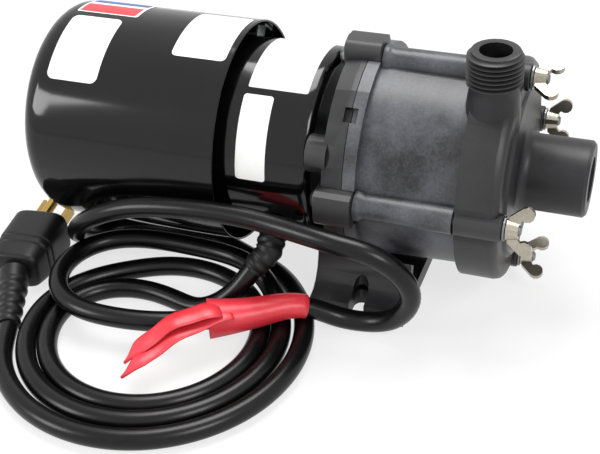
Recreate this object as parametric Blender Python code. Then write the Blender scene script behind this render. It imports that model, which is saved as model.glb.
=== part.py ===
"""Magnetic drive pump with its mains lead: one named object per sub-part, in metres, +Z up.

The shaft runs along X, inlet towards +X, and the origin is the centre of the foot's underside.
A fan-cooled motor turns a magnet cup around a sealed can, whose inner magnet drives the impeller.
"""
import math

import bmesh
import bpy
import numpy as np
from mathutils import Matrix, Vector

# Fits and finishes
GAP = 0.0003                # between pieces that touch
RUNNING_GAP = 0.0008        # round what turns
WELD = 0.000002             # points closer than this are one
OUTER_STEPS = 36            # facets of the large round pieces
INNER_STEPS = 24            # facets of the pieces inside
SMALL_STEPS = 12            # facets of bolts and holes
FILLET_STEPS = 3            # facets of a rounded corner

# Shaft line and foot
AXIS_H = 0.05715            # shaft height over the floor
FLANGE_CLEAR = 0.01215      # floor up to the housing flange
BOLT_INSET = 0.0032         # clamp bolts in from the flange's rim
FLANGE_R = AXIS_H - FLANGE_CLEAR
BOLT_CIRCLE_R = FLANGE_R - BOLT_INSET
FOOT_L = 0.040
FOOT_W = 0.084
FOOT_T = 0.007
FOOT_SLOT_W = 0.0064
FOOT_SLOT_ROOM = 0.008      # height over the foot that the screw head needs
FOOT_SLOT_INSET = 0.0075    # slot centre in from the foot's end

# Motor adapter
RING_DRAFT = 0.0008         # how much the ring narrows to its rear
RING_R = FLANGE_R
RING_REAR_R = RING_R - RING_DRAFT
RING_BORE_R = BOLT_CIRCLE_R - 0.0058
PAD_REACH = BOLT_CIRCLE_R + 0.0089
ADAPTER_X = -0.0041         # front face
RING_L = 0.0085
RING_WALL = 0.003           # web across the rear of the ring
SHAFT_HOLE_R = 0.012
LUG_L = 0.0069              # stand-offs towards the motor
LUG_R = 0.0075
LUG_CIRCLE_R = 0.0385
LUG_ANGLES = (155, 65, -25, -115)
PAD_W = 0.0145              # bolt pads
PAD_REAR = 0.0012           # how far a pad stands behind the ring
PEDESTAL_WALL = 0.004
WAIST_W = 0.058             # pedestal's narrowest
WAIST_H = 0.026
WAIST_LEAN = 0.003          # how far the sides lean out again above the waist
PEDESTAL_WEB = 0.006
NOTCH_L = 0.0025            # pry notch in the ring
NOTCH_W = 0.006
NOTCH_ANGLE = 133
SCREW_R = 0.0019
SCREW_HEAD_R = 0.0036
SCREW_HEAD_L = 0.0024

# Pump housing and volute
HOUSING_REAR_R = BOLT_CIRCLE_R + 0.0002
HOUSING_FRONT_R = BOLT_CIRCLE_R - 0.0010
HOUSING_BORE_R = BOLT_CIRCLE_R - 0.0073
RECESS_R = BOLT_CIRCLE_R - 0.0035
VOLUTE_R = BOLT_CIRCLE_R + 0.0032
VOLUTE_STEP_R = BOLT_CIRCLE_R - 0.0073
SEAL_GROOVE_R = BOLT_CIRCLE_R - 0.0067
CAVITY_R = SEAL_GROOVE_R - 0.0071
FLANGE_T = 0.0050
HOUSING_L = 0.0438
RECESS_L = 0.004            # seat of the can's flange
BOSS_R = 0.0055
BOSS_PROUD = 0.0015         # boss in front of the volute's face
BOSS_COLLAR_L = 0.002
VOLUTE_L = 0.0167
VOLUTE_FILLET = 0.0035
VOLUTE_STEP = 0.0012
CAVITY_L = 0.0135
CUTWATER_SHIFT = 0.0022     # the cavity opens this much towards the outlet
SEAL_R = 0.0012

# Ports
OUTLET_Y = 0.0110 - CAVITY_R    # the outlet leaves the cavity on its near side
INLET_R = 0.0154
INLET_L = 0.02765
INLET_BORE_R = 0.0092
INLET_BORE_L = 0.020
INLET_THROAT_R = 0.008
INLET_ROOT = 0.004
INLET_CHAMFER = 0.0012
OUTLET_TOP = 0.0602         # above the shaft
OUTLET_THREAD_L = 0.0147
OUTLET_THREAD_R = 0.0101    # plain cylinder between crest and root
OUTLET_NECK_R = 0.0097
OUTLET_BORE_R = 0.00625
OUTLET_CHAMFER = 0.0008
OUTLET_ROOT_R = 0.0105

# Magnetic coupling
CUP_ROOM = 0.0013           # round the cup in the housing's bore
CAN_ROOM = 0.0077           # cup wall, magnet and air between the cup's outside and the can
CUP_R = HOUSING_BORE_R - CUP_ROOM
CAN_R = CUP_R - CAN_ROOM
CAN_FLANGE_R = RECESS_R - GAP
IMPELLER_R = CAVITY_R - 0.0040
CAN_FLANGE_T = 0.0035
CAN_L = 0.0315
CAN_WALL = 0.0015
DRIVEN_R = CAN_R - CAN_WALL - RUNNING_GAP
SPINDLE_R = 0.003
SPINDLE_SEAT = 0.0045
SPINDLE_BOSS_R = 0.006
WASHER_THICK = 0.0012       # thrust washers
THRUST_R = 0.0062
DRIVEN_L = 0.026
CUP_L = 0.036
CUP_WALL = 0.0025
CUP_BACK = 0.003
CUP_HUB_R = 0.009
CUP_HUB_L = 0.009
DRIVE_MAGNET_L = 0.028
DRIVE_MAGNET_WALL = 0.0034
IMPELLER_PLATE = 0.0022
IMPELLER_NECK_R = 0.009
IMPELLER_HUB_R = 0.007
VANES = 6
VANE_T = 0.0018
VANE_H = 0.0066
VANE_ROOT_R = 0.0062
VANE_SWEEP = 75             # degrees from root to tip

# Clamp bolts, washers and wing nuts
BOLT_R = 0.00205
BOLT_ANGLES = (0, 90, 180, 270)
BOLT_HEAD_R = 0.0043
BOLT_HEAD_L = 0.003
BOLT_PROUD = 0.0010         # end of the bolt past its nut
BOLT_HOLE_R = 0.0024
WASHER_R = 0.0048
WASHER_T = 0.0008
NUT_HUB_R = 0.004
NUT_NOSE_R = 0.0034
NUT_L = 0.0046
NUT_BORE_R = 0.0023
WING_SPAN = 0.0195
WING_H = 0.010
WING_T = 0.0023
WING_LOBE_R = 0.0029
WING_TURNS = (77, 18, 76, 25)     # how each nut was left, round the bolt

# Motor
SHELL_R = 0.0402
SHELL_L = 0.0942
SHELL_WALL = 0.0015
SHELL_LIP_R = SHELL_R - 0.0057
SHELL_CORNER = 0.004
END_BELL_T = 0.0047
BEARING_R = 0.011
BEARING_L = 0.0077
BEARING_BOSS_R = 0.015
SHAFT_R = 0.00476
STATOR_R = SHELL_R - SHELL_WALL - GAP
STATOR_BORE_R = STATOR_R - 0.0154
WINDING_R = STATOR_R - 0.0029
WINDING_BORE_R = STATOR_BORE_R + 0.0032
STATOR_L = 0.036
STATOR_X = -0.075           # middle of the core
STATOR_SLOTS = 12
SLOT_W = 0.0042
SLOT_DEPTH = 0.0085
WINDING_L = 0.0117
ROTOR_R = STATOR_BORE_R - 0.0005
PROTECTOR = (0.012, 0.008, 0.0035)

# Fan and shroud
SHROUD_ROOM = 0.0070        # between the shell and the shroud's outside
SHROUD_R = SHELL_R + SHROUD_ROOM
FAN_R = SHROUD_R - 0.0092
SHROUD_L = 0.0883
SHROUD_WALL = 0.001
SHROUD_CORNER = 0.009
SHROUD_FRONT_X = -0.057
SHROUD_SLOTS = 16
SHROUD_SLOT_W = 0.0034
SHROUD_SLOT_IN = 0.014
SHROUD_SLOT_OUT = 0.033
BRACKET_L = 0.008
BRACKET_ARC = 12            # degrees
BRACKET_T = 0.001
BRACKET_ANGLES = (50, 170, 290)
BRACKET_SET = 0.003         # behind the shroud's front edge
FAN_HUB_R = 0.009
FAN_L = 0.016
FAN_SET = 0.0072            # hub behind the shroud's inner face
FAN_BLADES = 7
FAN_BLADE_T = 0.0013
FAN_PITCH = 34              # degrees

# Mains lead
CORD_R = 0.0042
GLAND_R = 0.0062
GLAND_L = 0.007
GLAND_ANGLE = 212           # place round the shell
GLAND_X = -0.036
COIL_X = -0.075
COIL_Y = -SHROUD_R - 0.0308
COIL_TURNS = (0.0435, 0.052)
COIL_ROOM = 0.001           # between the coil and the turn laid round it
OUTER_TURN_START = 72       # degrees round the coil
OUTER_TURN_END = -165
PLUG_L = 0.032
PLUG_W = 0.025
PLUG_H = 0.021
PLUG_TURN = 97              # direction that the blades point, from +X
PLUG_Y = -0.0500            # middle of the plug's body
PLUG_X = -0.1480
RELIEF_R = 0.0068
BLADE_L = 0.0175
BLADE_W = 0.0063
BLADE_T = 0.0015
BLADE_PITCH = 0.0127
GROUND_PIN_R = 0.0024

# Places that follow from the sizes above
HOUSING_X = ADAPTER_X + GAP
PARTING_X = HOUSING_X + HOUSING_L
VOLUTE_X = PARTING_X + GAP
VOLUTE_FACE_X = VOLUTE_X + VOLUTE_L
BOSS_FACE_X = VOLUTE_FACE_X + BOSS_PROUD
INLET_END_X = VOLUTE_FACE_X + INLET_L
OUTLET_X = VOLUTE_X + VOLUTE_L * 0.44
LUG_REAR_X = ADAPTER_X - RING_L - LUG_L
SHELL_FRONT_X = LUG_REAR_X - GAP
SHELL_REAR_X = SHELL_FRONT_X - SHELL_L
END_BELL_FACE_X = SHELL_FRONT_X - SHELL_WALL - GAP
SHROUD_REAR_X = SHROUD_FRONT_X - SHROUD_L
CAN_FLANGE_X = PARTING_X - CAN_FLANGE_T
CAN_REAR_X = CAN_FLANGE_X - CAN_L
SPINDLE_X = CAN_REAR_X + CAN_WALL + GAP
IMPELLER_X = VOLUTE_X + 0.002
CUP_X = CAN_REAR_X - RUNNING_GAP - CUP_BACK - SPINDLE_SEAT
COIL_IN_R = COIL_TURNS[0] - CORD_R
COIL_OUT_R = COIL_TURNS[1] + CORD_R
CORD_Z = CORD_R + GAP                                    # lead lying on the floor
CORD_TOP_Z = 2 * CORD_R + GAP + CORD_Z                   # lead lying on the coil
OUTER_TURN_R = COIL_OUT_R + COIL_ROOM + CORD_R

for leftover in list(bpy.data.objects):
    bpy.data.objects.remove(leftover)


def material(name, colour, roughness, metallic=0.0):
    """Principled material with a plain colour."""
    made = bpy.data.materials.new(name)
    made.use_nodes = True
    shader = made.node_tree.nodes["Principled BSDF"]
    shader.inputs["Base Color"].default_value = (*colour, 1.0)
    shader.inputs["Roughness"].default_value = roughness
    shader.inputs["Metallic"].default_value = metallic
    return made


PAINT = material("black_enamel", (0.012, 0.012, 0.013), 0.28)
PLASTIC = material("filled_plastic", (0.035, 0.036, 0.038), 0.62)
RUBBER = material("cord_pvc", (0.018, 0.018, 0.019), 0.42)
STEEL = material("plain_steel", (0.42, 0.42, 0.43), 0.35, 1.0)
NICKEL = material("bright_nickel", (0.72, 0.71, 0.68), 0.22, 1.0)
BRASS = material("brass", (0.66, 0.50, 0.22), 0.3, 1.0)
COPPER = material("enamelled_copper", (0.52, 0.20, 0.08), 0.35, 1.0)
LAMINATION = material("lamination_steel", (0.25, 0.25, 0.26), 0.5, 1.0)
MAGNET = material("ferrite", (0.05, 0.05, 0.055), 0.55)
CERAMIC = material("ceramic", (0.86, 0.85, 0.80), 0.3)
SEAL = material("seal_rubber", (0.02, 0.02, 0.02), 0.6)


def arc(centre, radius, start, end, steps=FILLET_STEPS):
    """Points of a rounded corner, its angles in degrees from the first axis towards the second."""
    turns = [math.radians(start + (end - start) * i / steps) for i in range(steps + 1)]
    return [(centre[0] + radius * math.cos(a), centre[1] + radius * math.sin(a)) for a in turns]


def turned(profile, steps=OUTER_STEPS, start=0.0, sweep=360.0):
    """Mesh of an outline of (x, radius) points turned about the X axis, the angle from +Y to +Z."""
    mesh = bmesh.new()
    low = math.radians(start)
    verts = [mesh.verts.new((x, r * math.cos(low), r * math.sin(low))) for x, r in profile]
    edges = [mesh.edges.new(pair) for pair in zip(verts, verts[1:])]
    if profile[0][1] > 0:
        edges.append(mesh.edges.new((verts[-1], verts[0])))
    bmesh.ops.spin(mesh, geom=verts + edges, cent=(0, 0, 0), axis=(1, 0, 0),
                   angle=math.radians(sweep), steps=steps, use_merge=sweep >= 360)
    bmesh.ops.remove_doubles(mesh, verts=mesh.verts, dist=WELD)
    if sweep < 360:
        bmesh.ops.holes_fill(mesh, edges=mesh.edges)
    bmesh.ops.recalc_face_normals(mesh, faces=mesh.faces)
    return mesh


def rod(radius, start, end, steps=SMALL_STEPS, turn=0.0):
    """Plain cylinder along X, its facets turned by an angle in degrees."""
    return turned([(start, 0), (start, radius), (end, radius), (end, 0)], steps, turn)


def drill(radius, start, end, steps=SMALL_STEPS):
    """Cutter of a round hole along X, its corners between those of what it cuts."""
    return rod(radius, start, end, steps, 180 / steps)


def tube(outer, inner, start, end, steps=OUTER_STEPS):
    """Plain sleeve along X."""
    return turned([(start, inner), (start, outer), (end, outer), (end, inner)], steps)


def extruded(outline, start, end):
    """Outline of (y, z) points drawn out along X."""
    mesh = bmesh.new()
    face = mesh.faces.new([mesh.verts.new((start, y, z)) for y, z in outline])
    grown = bmesh.ops.extrude_face_region(mesh, geom=[face])["geom"]
    moved = [item for item in grown if isinstance(item, bmesh.types.BMVert)]
    bmesh.ops.translate(mesh, verts=moved, vec=(end - start, 0, 0))
    bmesh.ops.recalc_face_normals(mesh, faces=mesh.faces)
    return mesh


def block(low, high):
    """Box between two corners."""
    outline = [(low[1], low[2]), (high[1], low[2]), (high[1], high[2]), (low[1], high[2])]
    return extruded(outline, low[0], high[0])


def joined(meshes):
    """Several meshes that don't touch, as one."""
    whole = bmesh.new()
    for mesh in meshes:
        part = bpy.data.meshes.new("part")
        mesh.to_mesh(part)
        mesh.free()
        whole.from_mesh(part)
        bpy.data.meshes.remove(part)
    return whole


def moved(mesh, turn=0.0, axis="X", offset=(0, 0, 0)):
    """A mesh turned in degrees about an axis through the origin, then shifted."""
    mesh.transform(Matrix.Translation(offset) @ Matrix.Rotation(math.radians(turn), 4, axis))
    return mesh


def round_the_shaft(make, angles):
    """One copy of a mesh for each angle round the shaft, from +Y towards +Z."""
    return joined([moved(make(), angle) for angle in angles])


def node(name, mesh, finish, place=(0, 0, AXIS_H), parent=None):
    """Named object of a mesh, its origin at place, shaded smooth up to its sharp edges."""
    data = bpy.data.meshes.new(name)
    mesh.to_mesh(data)
    mesh.free()
    data.shade_smooth()
    data.set_sharp_from_angle(angle=math.radians(35))
    return node_of(name, data, finish, place, parent)


def node_of(name, data, finish, place=(0, 0, AXIS_H), parent=None):
    """Named object that shows finished mesh or curve data."""
    made = bpy.data.objects.new(name, data)
    bpy.context.scene.collection.objects.link(made)
    if not data.materials:
        data.materials.append(finish)
    made.location = place
    if parent:
        made.parent = parent
        made.matrix_parent_inverse = Matrix.Translation(parent.location).inverted()
    return made


def shaped(target, operation, mesh, solver="EXACT"):
    """Cuts a mesh from an object or joins it on, with a hidden guide object in the object's own frame."""
    guide = node(f"{target.name}_guide{len(target.modifiers)}", mesh, target.data.materials[0],
                 target.location)
    guide.hide_render = True
    guide.display_type = "WIRE"
    change = target.modifiers.new(operation.lower(), "BOOLEAN")
    change.operation = operation
    change.object = guide
    change.solver = solver
    return target


def cut(target, mesh, solver="EXACT"):
    """Takes a mesh away from an object."""
    return shaped(target, "DIFFERENCE", mesh, solver)


def added(target, mesh):
    """Joins a mesh on to an object."""
    return shaped(target, "UNION", mesh)


def axis_empty(name):
    """Empty on the shaft line, which the pieces that turn hang from."""
    empty = bpy.data.objects.new(name, None)
    empty.location = (0, 0, AXIS_H)
    bpy.context.scene.collection.objects.link(empty)
    return empty


def smooth_route(points, spacing):
    """Evenly spaced points on the natural cubic curve through a route's own points."""
    knots = np.array(points, float)
    reach = np.concatenate([[0], np.cumsum(np.linalg.norm(np.diff(knots, axis=0), axis=1))])
    step = np.diff(reach)
    size = len(knots)
    system = np.eye(size)
    right = np.zeros((size, 3))
    for i in range(1, size - 1):
        system[i, i - 1:i + 2] = step[i - 1], 2 * (step[i - 1] + step[i]), step[i]
        right[i] = 6 * ((knots[i + 1] - knots[i]) / step[i] - (knots[i] - knots[i - 1]) / step[i - 1])
    curve = np.linalg.solve(system, right)
    fine = np.linspace(0, reach[-1], 40 * size)
    span = np.clip(np.searchsorted(reach, fine, side="right") - 1, 0, size - 2)
    a = ((reach[span + 1] - fine) / step[span])[:, None]
    b = 1 - a
    bend = ((a ** 3 - a) * curve[span] + (b ** 3 - b) * curve[span + 1]) * (step[span] ** 2)[:, None] / 6
    line = a * knots[span] + b * knots[span + 1] + bend
    length = np.concatenate([[0], np.cumsum(np.linalg.norm(np.diff(line, axis=0), axis=1))])
    count = max(2, round(length[-1] / spacing))
    marks = np.linspace(0, length[-1], count + 1)
    return np.stack([np.interp(marks, length, line[:, k]) for k in range(3)], axis=1)


def cord_tube(name, points, spacing):
    """Round tube with capped ends along a route, its points spaced in diameters."""
    data = bpy.data.curves.new(name, "CURVE")
    data.dimensions = "3D"
    data.bevel_depth = CORD_R
    data.bevel_resolution = 2
    data.use_fill_caps = True
    spline = data.splines.new("POLY")
    route = smooth_route(points, spacing * 2 * CORD_R)
    spline.points.add(len(route) - 1)
    for point, place in zip(spline.points, route):
        point.co = (*place, 1.0)
    return node_of(name, data, RUBBER, (0, 0, 0))


def build_shroud():
    """Deep-drawn fan shroud: open at the front, with a ring of intake slots in its rear wall."""
    front, rear, wall = SHROUD_FRONT_X, SHROUD_REAR_X, SHROUD_WALL
    outside = [(front, SHROUD_R)]
    outside += arc((rear + SHROUD_CORNER, SHROUD_R - SHROUD_CORNER), SHROUD_CORNER, 90, 180)
    inside = arc((rear + SHROUD_CORNER, SHROUD_R - SHROUD_CORNER), SHROUD_CORNER - wall, 180, 90)
    inside.append((front, SHROUD_R - wall))
    profile = outside + [(rear, 0), (rear + wall, 0)] + inside
    shroud = node("fan_shroud", turned_cup(profile), PAINT)
    slots = round_the_shaft(
        lambda: block((rear - wall, SHROUD_SLOT_IN, -SHROUD_SLOT_W / 2),
                      (rear + 2 * wall, SHROUD_SLOT_OUT, SHROUD_SLOT_W / 2)),
        [360 * i / SHROUD_SLOTS for i in range(SHROUD_SLOTS)])
    return cut(shroud, slots)


def turned_cup(profile):
    """Turned outline of a cup, whose floor meets the shaft line at two points next to each other."""
    floor = next(i for i, point in enumerate(profile) if point[1] == 0)
    return turned(profile[floor + 1:] + profile[:floor + 1])


def build_brackets():
    """Three stepped straps that carry the shroud on the motor's shell."""
    low = SHELL_R + GAP
    high = SHROUD_R - SHROUD_WALL - GAP
    start = SHROUD_FRONT_X - BRACKET_SET
    middle = start - BRACKET_L / 2
    end = start - BRACKET_L
    strap = [(start, high), (start, high - BRACKET_T), (middle + BRACKET_T, high - BRACKET_T),
             (middle + BRACKET_T, low), (end, low), (end, low + BRACKET_T),
             (middle, low + BRACKET_T), (middle, high)]
    for i, angle in enumerate(BRACKET_ANGLES, 1):
        mesh = turned(strap, 4, angle - BRACKET_ARC / 2, BRACKET_ARC)
        node(f"shroud_bracket_{i}", mesh, STEEL)


def build_shell():
    """Motor shell: a drawn tube whose front edge turns in over the end bell."""
    front, rear, wall, corner = SHELL_FRONT_X, SHELL_REAR_X, SHELL_WALL, SHELL_CORNER
    centre = (front - corner, SHELL_R - corner)
    profile = [(rear, SHELL_R - wall), (rear, SHELL_R)]
    profile += arc(centre, corner, 90, 0)
    profile += [(front, SHELL_LIP_R), (front - wall, SHELL_LIP_R)]
    profile += arc(centre, corner - wall, 0, 90)
    return node("motor_shell", turned(profile), PAINT)


def build_end_bells():
    """Bearing plates pressed into the two ends of the shell."""
    plate_r = SHELL_R - SHELL_CORNER - GAP
    face = END_BELL_FACE_X
    back = face - END_BELL_T
    pocket = face - RUNNING_GAP - BEARING_L
    boss = back - BEARING_L
    front = [(face, SHAFT_R + RUNNING_GAP), (face, plate_r), (back, plate_r), (back, BEARING_BOSS_R),
             (boss, BEARING_BOSS_R), (boss, BEARING_R + GAP), (pocket + BEARING_L, BEARING_R + GAP),
             (pocket + BEARING_L, SHAFT_R + RUNNING_GAP)]
    node("front_end_bell", turned(front, INNER_STEPS), LAMINATION)
    fit = SHELL_R - SHELL_WALL - GAP
    rear = SHELL_REAR_X
    inner = rear + END_BELL_T
    back_face = [(rear, SHAFT_R + RUNNING_GAP), (rear, fit), (inner, fit), (inner, BEARING_BOSS_R),
                 (inner + BEARING_L - RUNNING_GAP, BEARING_BOSS_R),
                 (inner + BEARING_L - RUNNING_GAP, BEARING_R + GAP),
                 (inner - RUNNING_GAP, BEARING_R + GAP), (inner - RUNNING_GAP, SHAFT_R + RUNNING_GAP)]
    node("rear_end_bell", turned(back_face, INNER_STEPS), LAMINATION)
    node("front_bearing", tube(BEARING_R, SHAFT_R + GAP, pocket + GAP, pocket + BEARING_L - GAP, INNER_STEPS), STEEL)
    node("rear_bearing", tube(BEARING_R, SHAFT_R + GAP, inner - RUNNING_GAP + GAP,
                              inner - RUNNING_GAP + BEARING_L - GAP, INNER_STEPS), STEEL)


def build_stator():
    """Slotted stator core with a winding ring at each end and the thermal protector tied to one."""
    front, rear = STATOR_X + STATOR_L / 2, STATOR_X - STATOR_L / 2
    core = node("stator_core", tube(STATOR_R, STATOR_BORE_R, rear, front, INNER_STEPS), LAMINATION)
    slots = round_the_shaft(
        lambda: block((rear - STATOR_L, STATOR_BORE_R + RUNNING_GAP, -SLOT_W / 2),
                      (front + STATOR_L, STATOR_BORE_R + RUNNING_GAP + SLOT_DEPTH, SLOT_W / 2)),
        [360 * (i + 0.5) / STATOR_SLOTS for i in range(STATOR_SLOTS)])
    cut(core, slots)
    for name, side, face in (("winding_front", 1, front), ("winding_rear", -1, rear)):
        near = face + side * GAP
        far = near + side * WINDING_L
        crown = WINDING_L * 0.35
        ring = [(near, WINDING_BORE_R), (near, WINDING_R), (far - side * crown, WINDING_R),
                (far, WINDING_R - crown), (far, WINDING_BORE_R + crown),
                (far - side * crown, WINDING_BORE_R)]
        node(name, turned(ring, INNER_STEPS), COPPER)
    length, width, height = PROTECTOR
    seat = front + GAP + WINDING_L + GAP
    radius = (WINDING_R + WINDING_BORE_R) / 2
    guard = block((seat, radius - height, -length / 2),
                  (seat + height, radius + width - height, length / 2))
    node("thermal_protector", moved(guard, 120), PLASTIC)


def build_rotor(parent):
    """Shaft, rotor core and cooling fan, which turn together."""
    cup_front = CUP_X + GAP
    fan_rear = SHROUD_REAR_X + SHROUD_WALL + FAN_SET
    shaft = [(fan_rear, 0), (fan_rear, SHAFT_R), (cup_front + CUP_BACK - SHAFT_R / 4, SHAFT_R),
             (cup_front + CUP_BACK, SHAFT_R * 3 / 4), (cup_front + CUP_BACK, 0)]
    node("motor_shaft", turned(shaft, 24), STEEL, parent=parent)
    front, rear = STATOR_X + STATOR_L / 2, STATOR_X - STATOR_L / 2
    node("rotor_core", tube(ROTOR_R, SHAFT_R + GAP, rear, front, INNER_STEPS), LAMINATION, parent=parent)
    hub = tube(FAN_HUB_R, SHAFT_R + GAP, fan_rear, fan_rear + FAN_L, INNER_STEPS)
    fan = node("cooling_fan", hub, PLASTIC, parent=parent)
    blade_l = FAN_L * 0.9 / math.cos(math.radians(FAN_PITCH))

    def blade():
        plate = block((-blade_l / 2, FAN_HUB_R - FAN_BLADE_T, -FAN_BLADE_T / 2),
                      (blade_l / 2, FAN_R, FAN_BLADE_T / 2))
        return moved(plate, FAN_PITCH, "Y", (fan_rear + FAN_L / 2, 0, 0))
    added(fan, round_the_shaft(blade, [360 * i / FAN_BLADES for i in range(FAN_BLADES)]))


def build_drive_cup(parent):
    """Magnet cup on the motor shaft: it carries a ring magnet round the can without touching it."""
    back, inner = CUP_X, CUP_X + CUP_BACK
    bore = CUP_R - CUP_WALL
    cup = [(back, CUP_HUB_R), (back, CUP_R), (back + CUP_L, CUP_R), (back + CUP_L, bore), (inner, bore),
           (inner, SHAFT_R + GAP), (back - CUP_HUB_L, SHAFT_R + GAP), (back - CUP_HUB_L, CUP_HUB_R)]
    node("drive_magnet_cup", turned(cup, INNER_STEPS), STEEL, parent=parent)
    outer = bore - GAP
    start = back + CUP_L - DRIVE_MAGNET_L - RUNNING_GAP
    magnet = tube(outer, outer - DRIVE_MAGNET_WALL, start, start + DRIVE_MAGNET_L, INNER_STEPS)
    node("drive_magnet", magnet, MAGNET, parent=parent)


def pedestal_outline(inset=0.0):
    """Outline of foot and waisted pedestal as (y, z) points from the shaft, its sides set in by inset."""
    half_foot, half_waist = FOOT_W / 2, WAIST_W / 2
    flare = [(half_foot - (half_foot - half_waist) * math.cos(turn),
              WAIST_H - (WAIST_H - FOOT_T) * math.sin(turn))
             for turn in np.radians(range(90, -1, -18))]
    side = [(y - inset, z) for y,
            z in flare] + [(half_waist + WAIST_LEAN - inset, AXIS_H - RING_BORE_R / 2)]
    if not inset:
        side.insert(0, (half_foot, 0))
    return [(y, z - AXIS_H) for y, z in side] + [(-y, z - AXIS_H) for y, z in reversed(side)]


def pad_outline(reach, width, inner):
    """Bolt pad seen along the shaft, for the bolt on the +Y side: square inside, rounded outside."""
    half, corner = width / 2, width / 4
    outer = arc((reach - corner, half - corner), corner, 90, 0, 3)
    outer += arc((reach - corner, corner - half), corner, 0, -90, 2)
    return [(inner, half)] + outer + [(inner, -half)]


def build_adapter():
    """One moulding: ring with a web, stand-offs, bolt pads, waisted pedestal and slotted foot."""
    front, rear = ADAPTER_X, ADAPTER_X - RING_L
    foot_front, foot_rear = FOOT_L / 2, -FOOT_L / 2
    web_front, web_rear = front - (RING_L - PEDESTAL_WEB) / 2, rear + (RING_L - PEDESTAL_WEB) / 2
    adapter = node("motor_adapter", extruded(pedestal_outline(), foot_rear, foot_front), PLASTIC)
    pocket = pedestal_outline(PEDESTAL_WALL)
    cut(adapter, joined([extruded(pocket, web_front, foot_front + FOOT_L),
                         extruded(pocket, foot_rear - FOOT_L, web_rear)]))
    room_rear, room_ring, room_front = RING_REAR_R - GAP, (RING_BORE_R + RING_REAR_R) / 2, FLANGE_R + GAP
    room = [(foot_rear - FOOT_L, 0), (foot_rear - FOOT_L, room_rear), (rear + GAP, room_rear),
            (rear + GAP, room_ring),
            (front - GAP, room_ring), (front - GAP, room_front), (foot_front + FOOT_L, room_front),
            (foot_front + FOOT_L, 0)]
    cut(adapter, turned(room, start=180 / OUTER_STEPS))
    added(adapter, block((foot_rear + GAP, GAP - FOOT_W / 2, GAP - AXIS_H),
                         (foot_front - GAP, FOOT_W / 2 - GAP, FOOT_T - AXIS_H - GAP)))
    ring = [(rear, SHAFT_HOLE_R), (rear, RING_REAR_R), (front - RING_L / 4, RING_R), (front, RING_R),
            (front, RING_BORE_R), (rear + RING_WALL, RING_BORE_R), (rear + RING_WALL, SHAFT_HOLE_R)]
    added(adapter, turned(ring))
    lugs = [moved(rod(LUG_R, LUG_REAR_X, rear + RING_WALL / 2, 20), 0, "X", place)
            for place in circle_places(LUG_CIRCLE_R, LUG_ANGLES)]
    added(adapter, joined(lugs))
    pad = pad_outline(PAD_REACH, PAD_W, BOLT_CIRCLE_R - BOLT_HEAD_R - GAP)
    pad_front = HOUSING_X + FLANGE_T - GAP
    added(adapter, round_the_shaft(lambda: extruded(pad, rear - PAD_REAR, pad_front), BOLT_ANGLES))
    holes = [moved(drill(BOLT_HOLE_R, rear - RING_L, pad_front + RING_L), 0, "X", place)
             for place in circle_places(BOLT_CIRCLE_R, BOLT_ANGLES)]
    for place in circle_places(LUG_CIRCLE_R, LUG_ANGLES):
        seat = rear + RING_WALL + GAP / 2
        step = [(LUG_REAR_X - RING_L, 0), (LUG_REAR_X - RING_L, SCREW_R + GAP), (seat, SCREW_R + GAP),
                (seat, SCREW_HEAD_R + GAP), (front + RING_L, SCREW_HEAD_R + GAP), (front + RING_L, 0)]
        holes.append(moved(turned(step, SMALL_STEPS, 180 / SMALL_STEPS), 0, "X", place))
    cut(adapter, joined(holes))
    cut(adapter, joined([foot_slot(side) for side in (1, -1)]))
    cut(adapter, pry_notch())


def circle_places(radius, angles):
    """Places on a circle round the shaft, from +Y towards +Z."""
    turns = [math.radians(angle) for angle in angles]
    return [(0, radius * math.cos(turn), radius * math.sin(turn)) for turn in turns]


def foot_slot(side):
    """Open-ended fixing slot in one end of the foot, as an upright cutter."""
    centre = FOOT_W / 2 - FOOT_SLOT_INSET
    round_end = arc((0, centre), FOOT_SLOT_W / 2, 180, 360, 6)
    outline = [(x, y * side) for x,
               y in round_end + [(FOOT_SLOT_W / 2, FOOT_W), (-FOOT_SLOT_W / 2, FOOT_W)]]
    slot = extruded([(y, -x) for x, y in outline], -2 * AXIS_H, FOOT_T + FOOT_SLOT_ROOM - AXIS_H)
    return moved(slot, -90, "Y")


def pry_notch():
    """Slot for a blade where the adapter's ring meets the housing's flange, on the near upper side."""
    mesh = block((ADAPTER_X - NOTCH_L, RING_R - NOTCH_L, -NOTCH_W / 2),
                 (HOUSING_X + NOTCH_L, FLANGE_R + NOTCH_L, NOTCH_W / 2))
    return moved(mesh, NOTCH_ANGLE)


def build_adapter_screws():
    """Four screws that hold the adapter's stand-offs to the front end bell."""
    head = ADAPTER_X - RING_L + RING_WALL + GAP
    for i, place in enumerate(circle_places(LUG_CIRCLE_R, LUG_ANGLES), 1):
        screw = [(SHELL_FRONT_X + GAP, 0), (SHELL_FRONT_X + GAP, SCREW_R), (head, SCREW_R),
                 (head, SCREW_HEAD_R),
                 (head + SCREW_HEAD_L * 0.6, SCREW_HEAD_R), (head + SCREW_HEAD_L, SCREW_HEAD_R * 0.7),
                 (head + SCREW_HEAD_L, 0)]
        node(f"adapter_screw_{i}", turned(screw, SMALL_STEPS), STEEL, (0, place[1], AXIS_H + place[2]))


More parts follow.
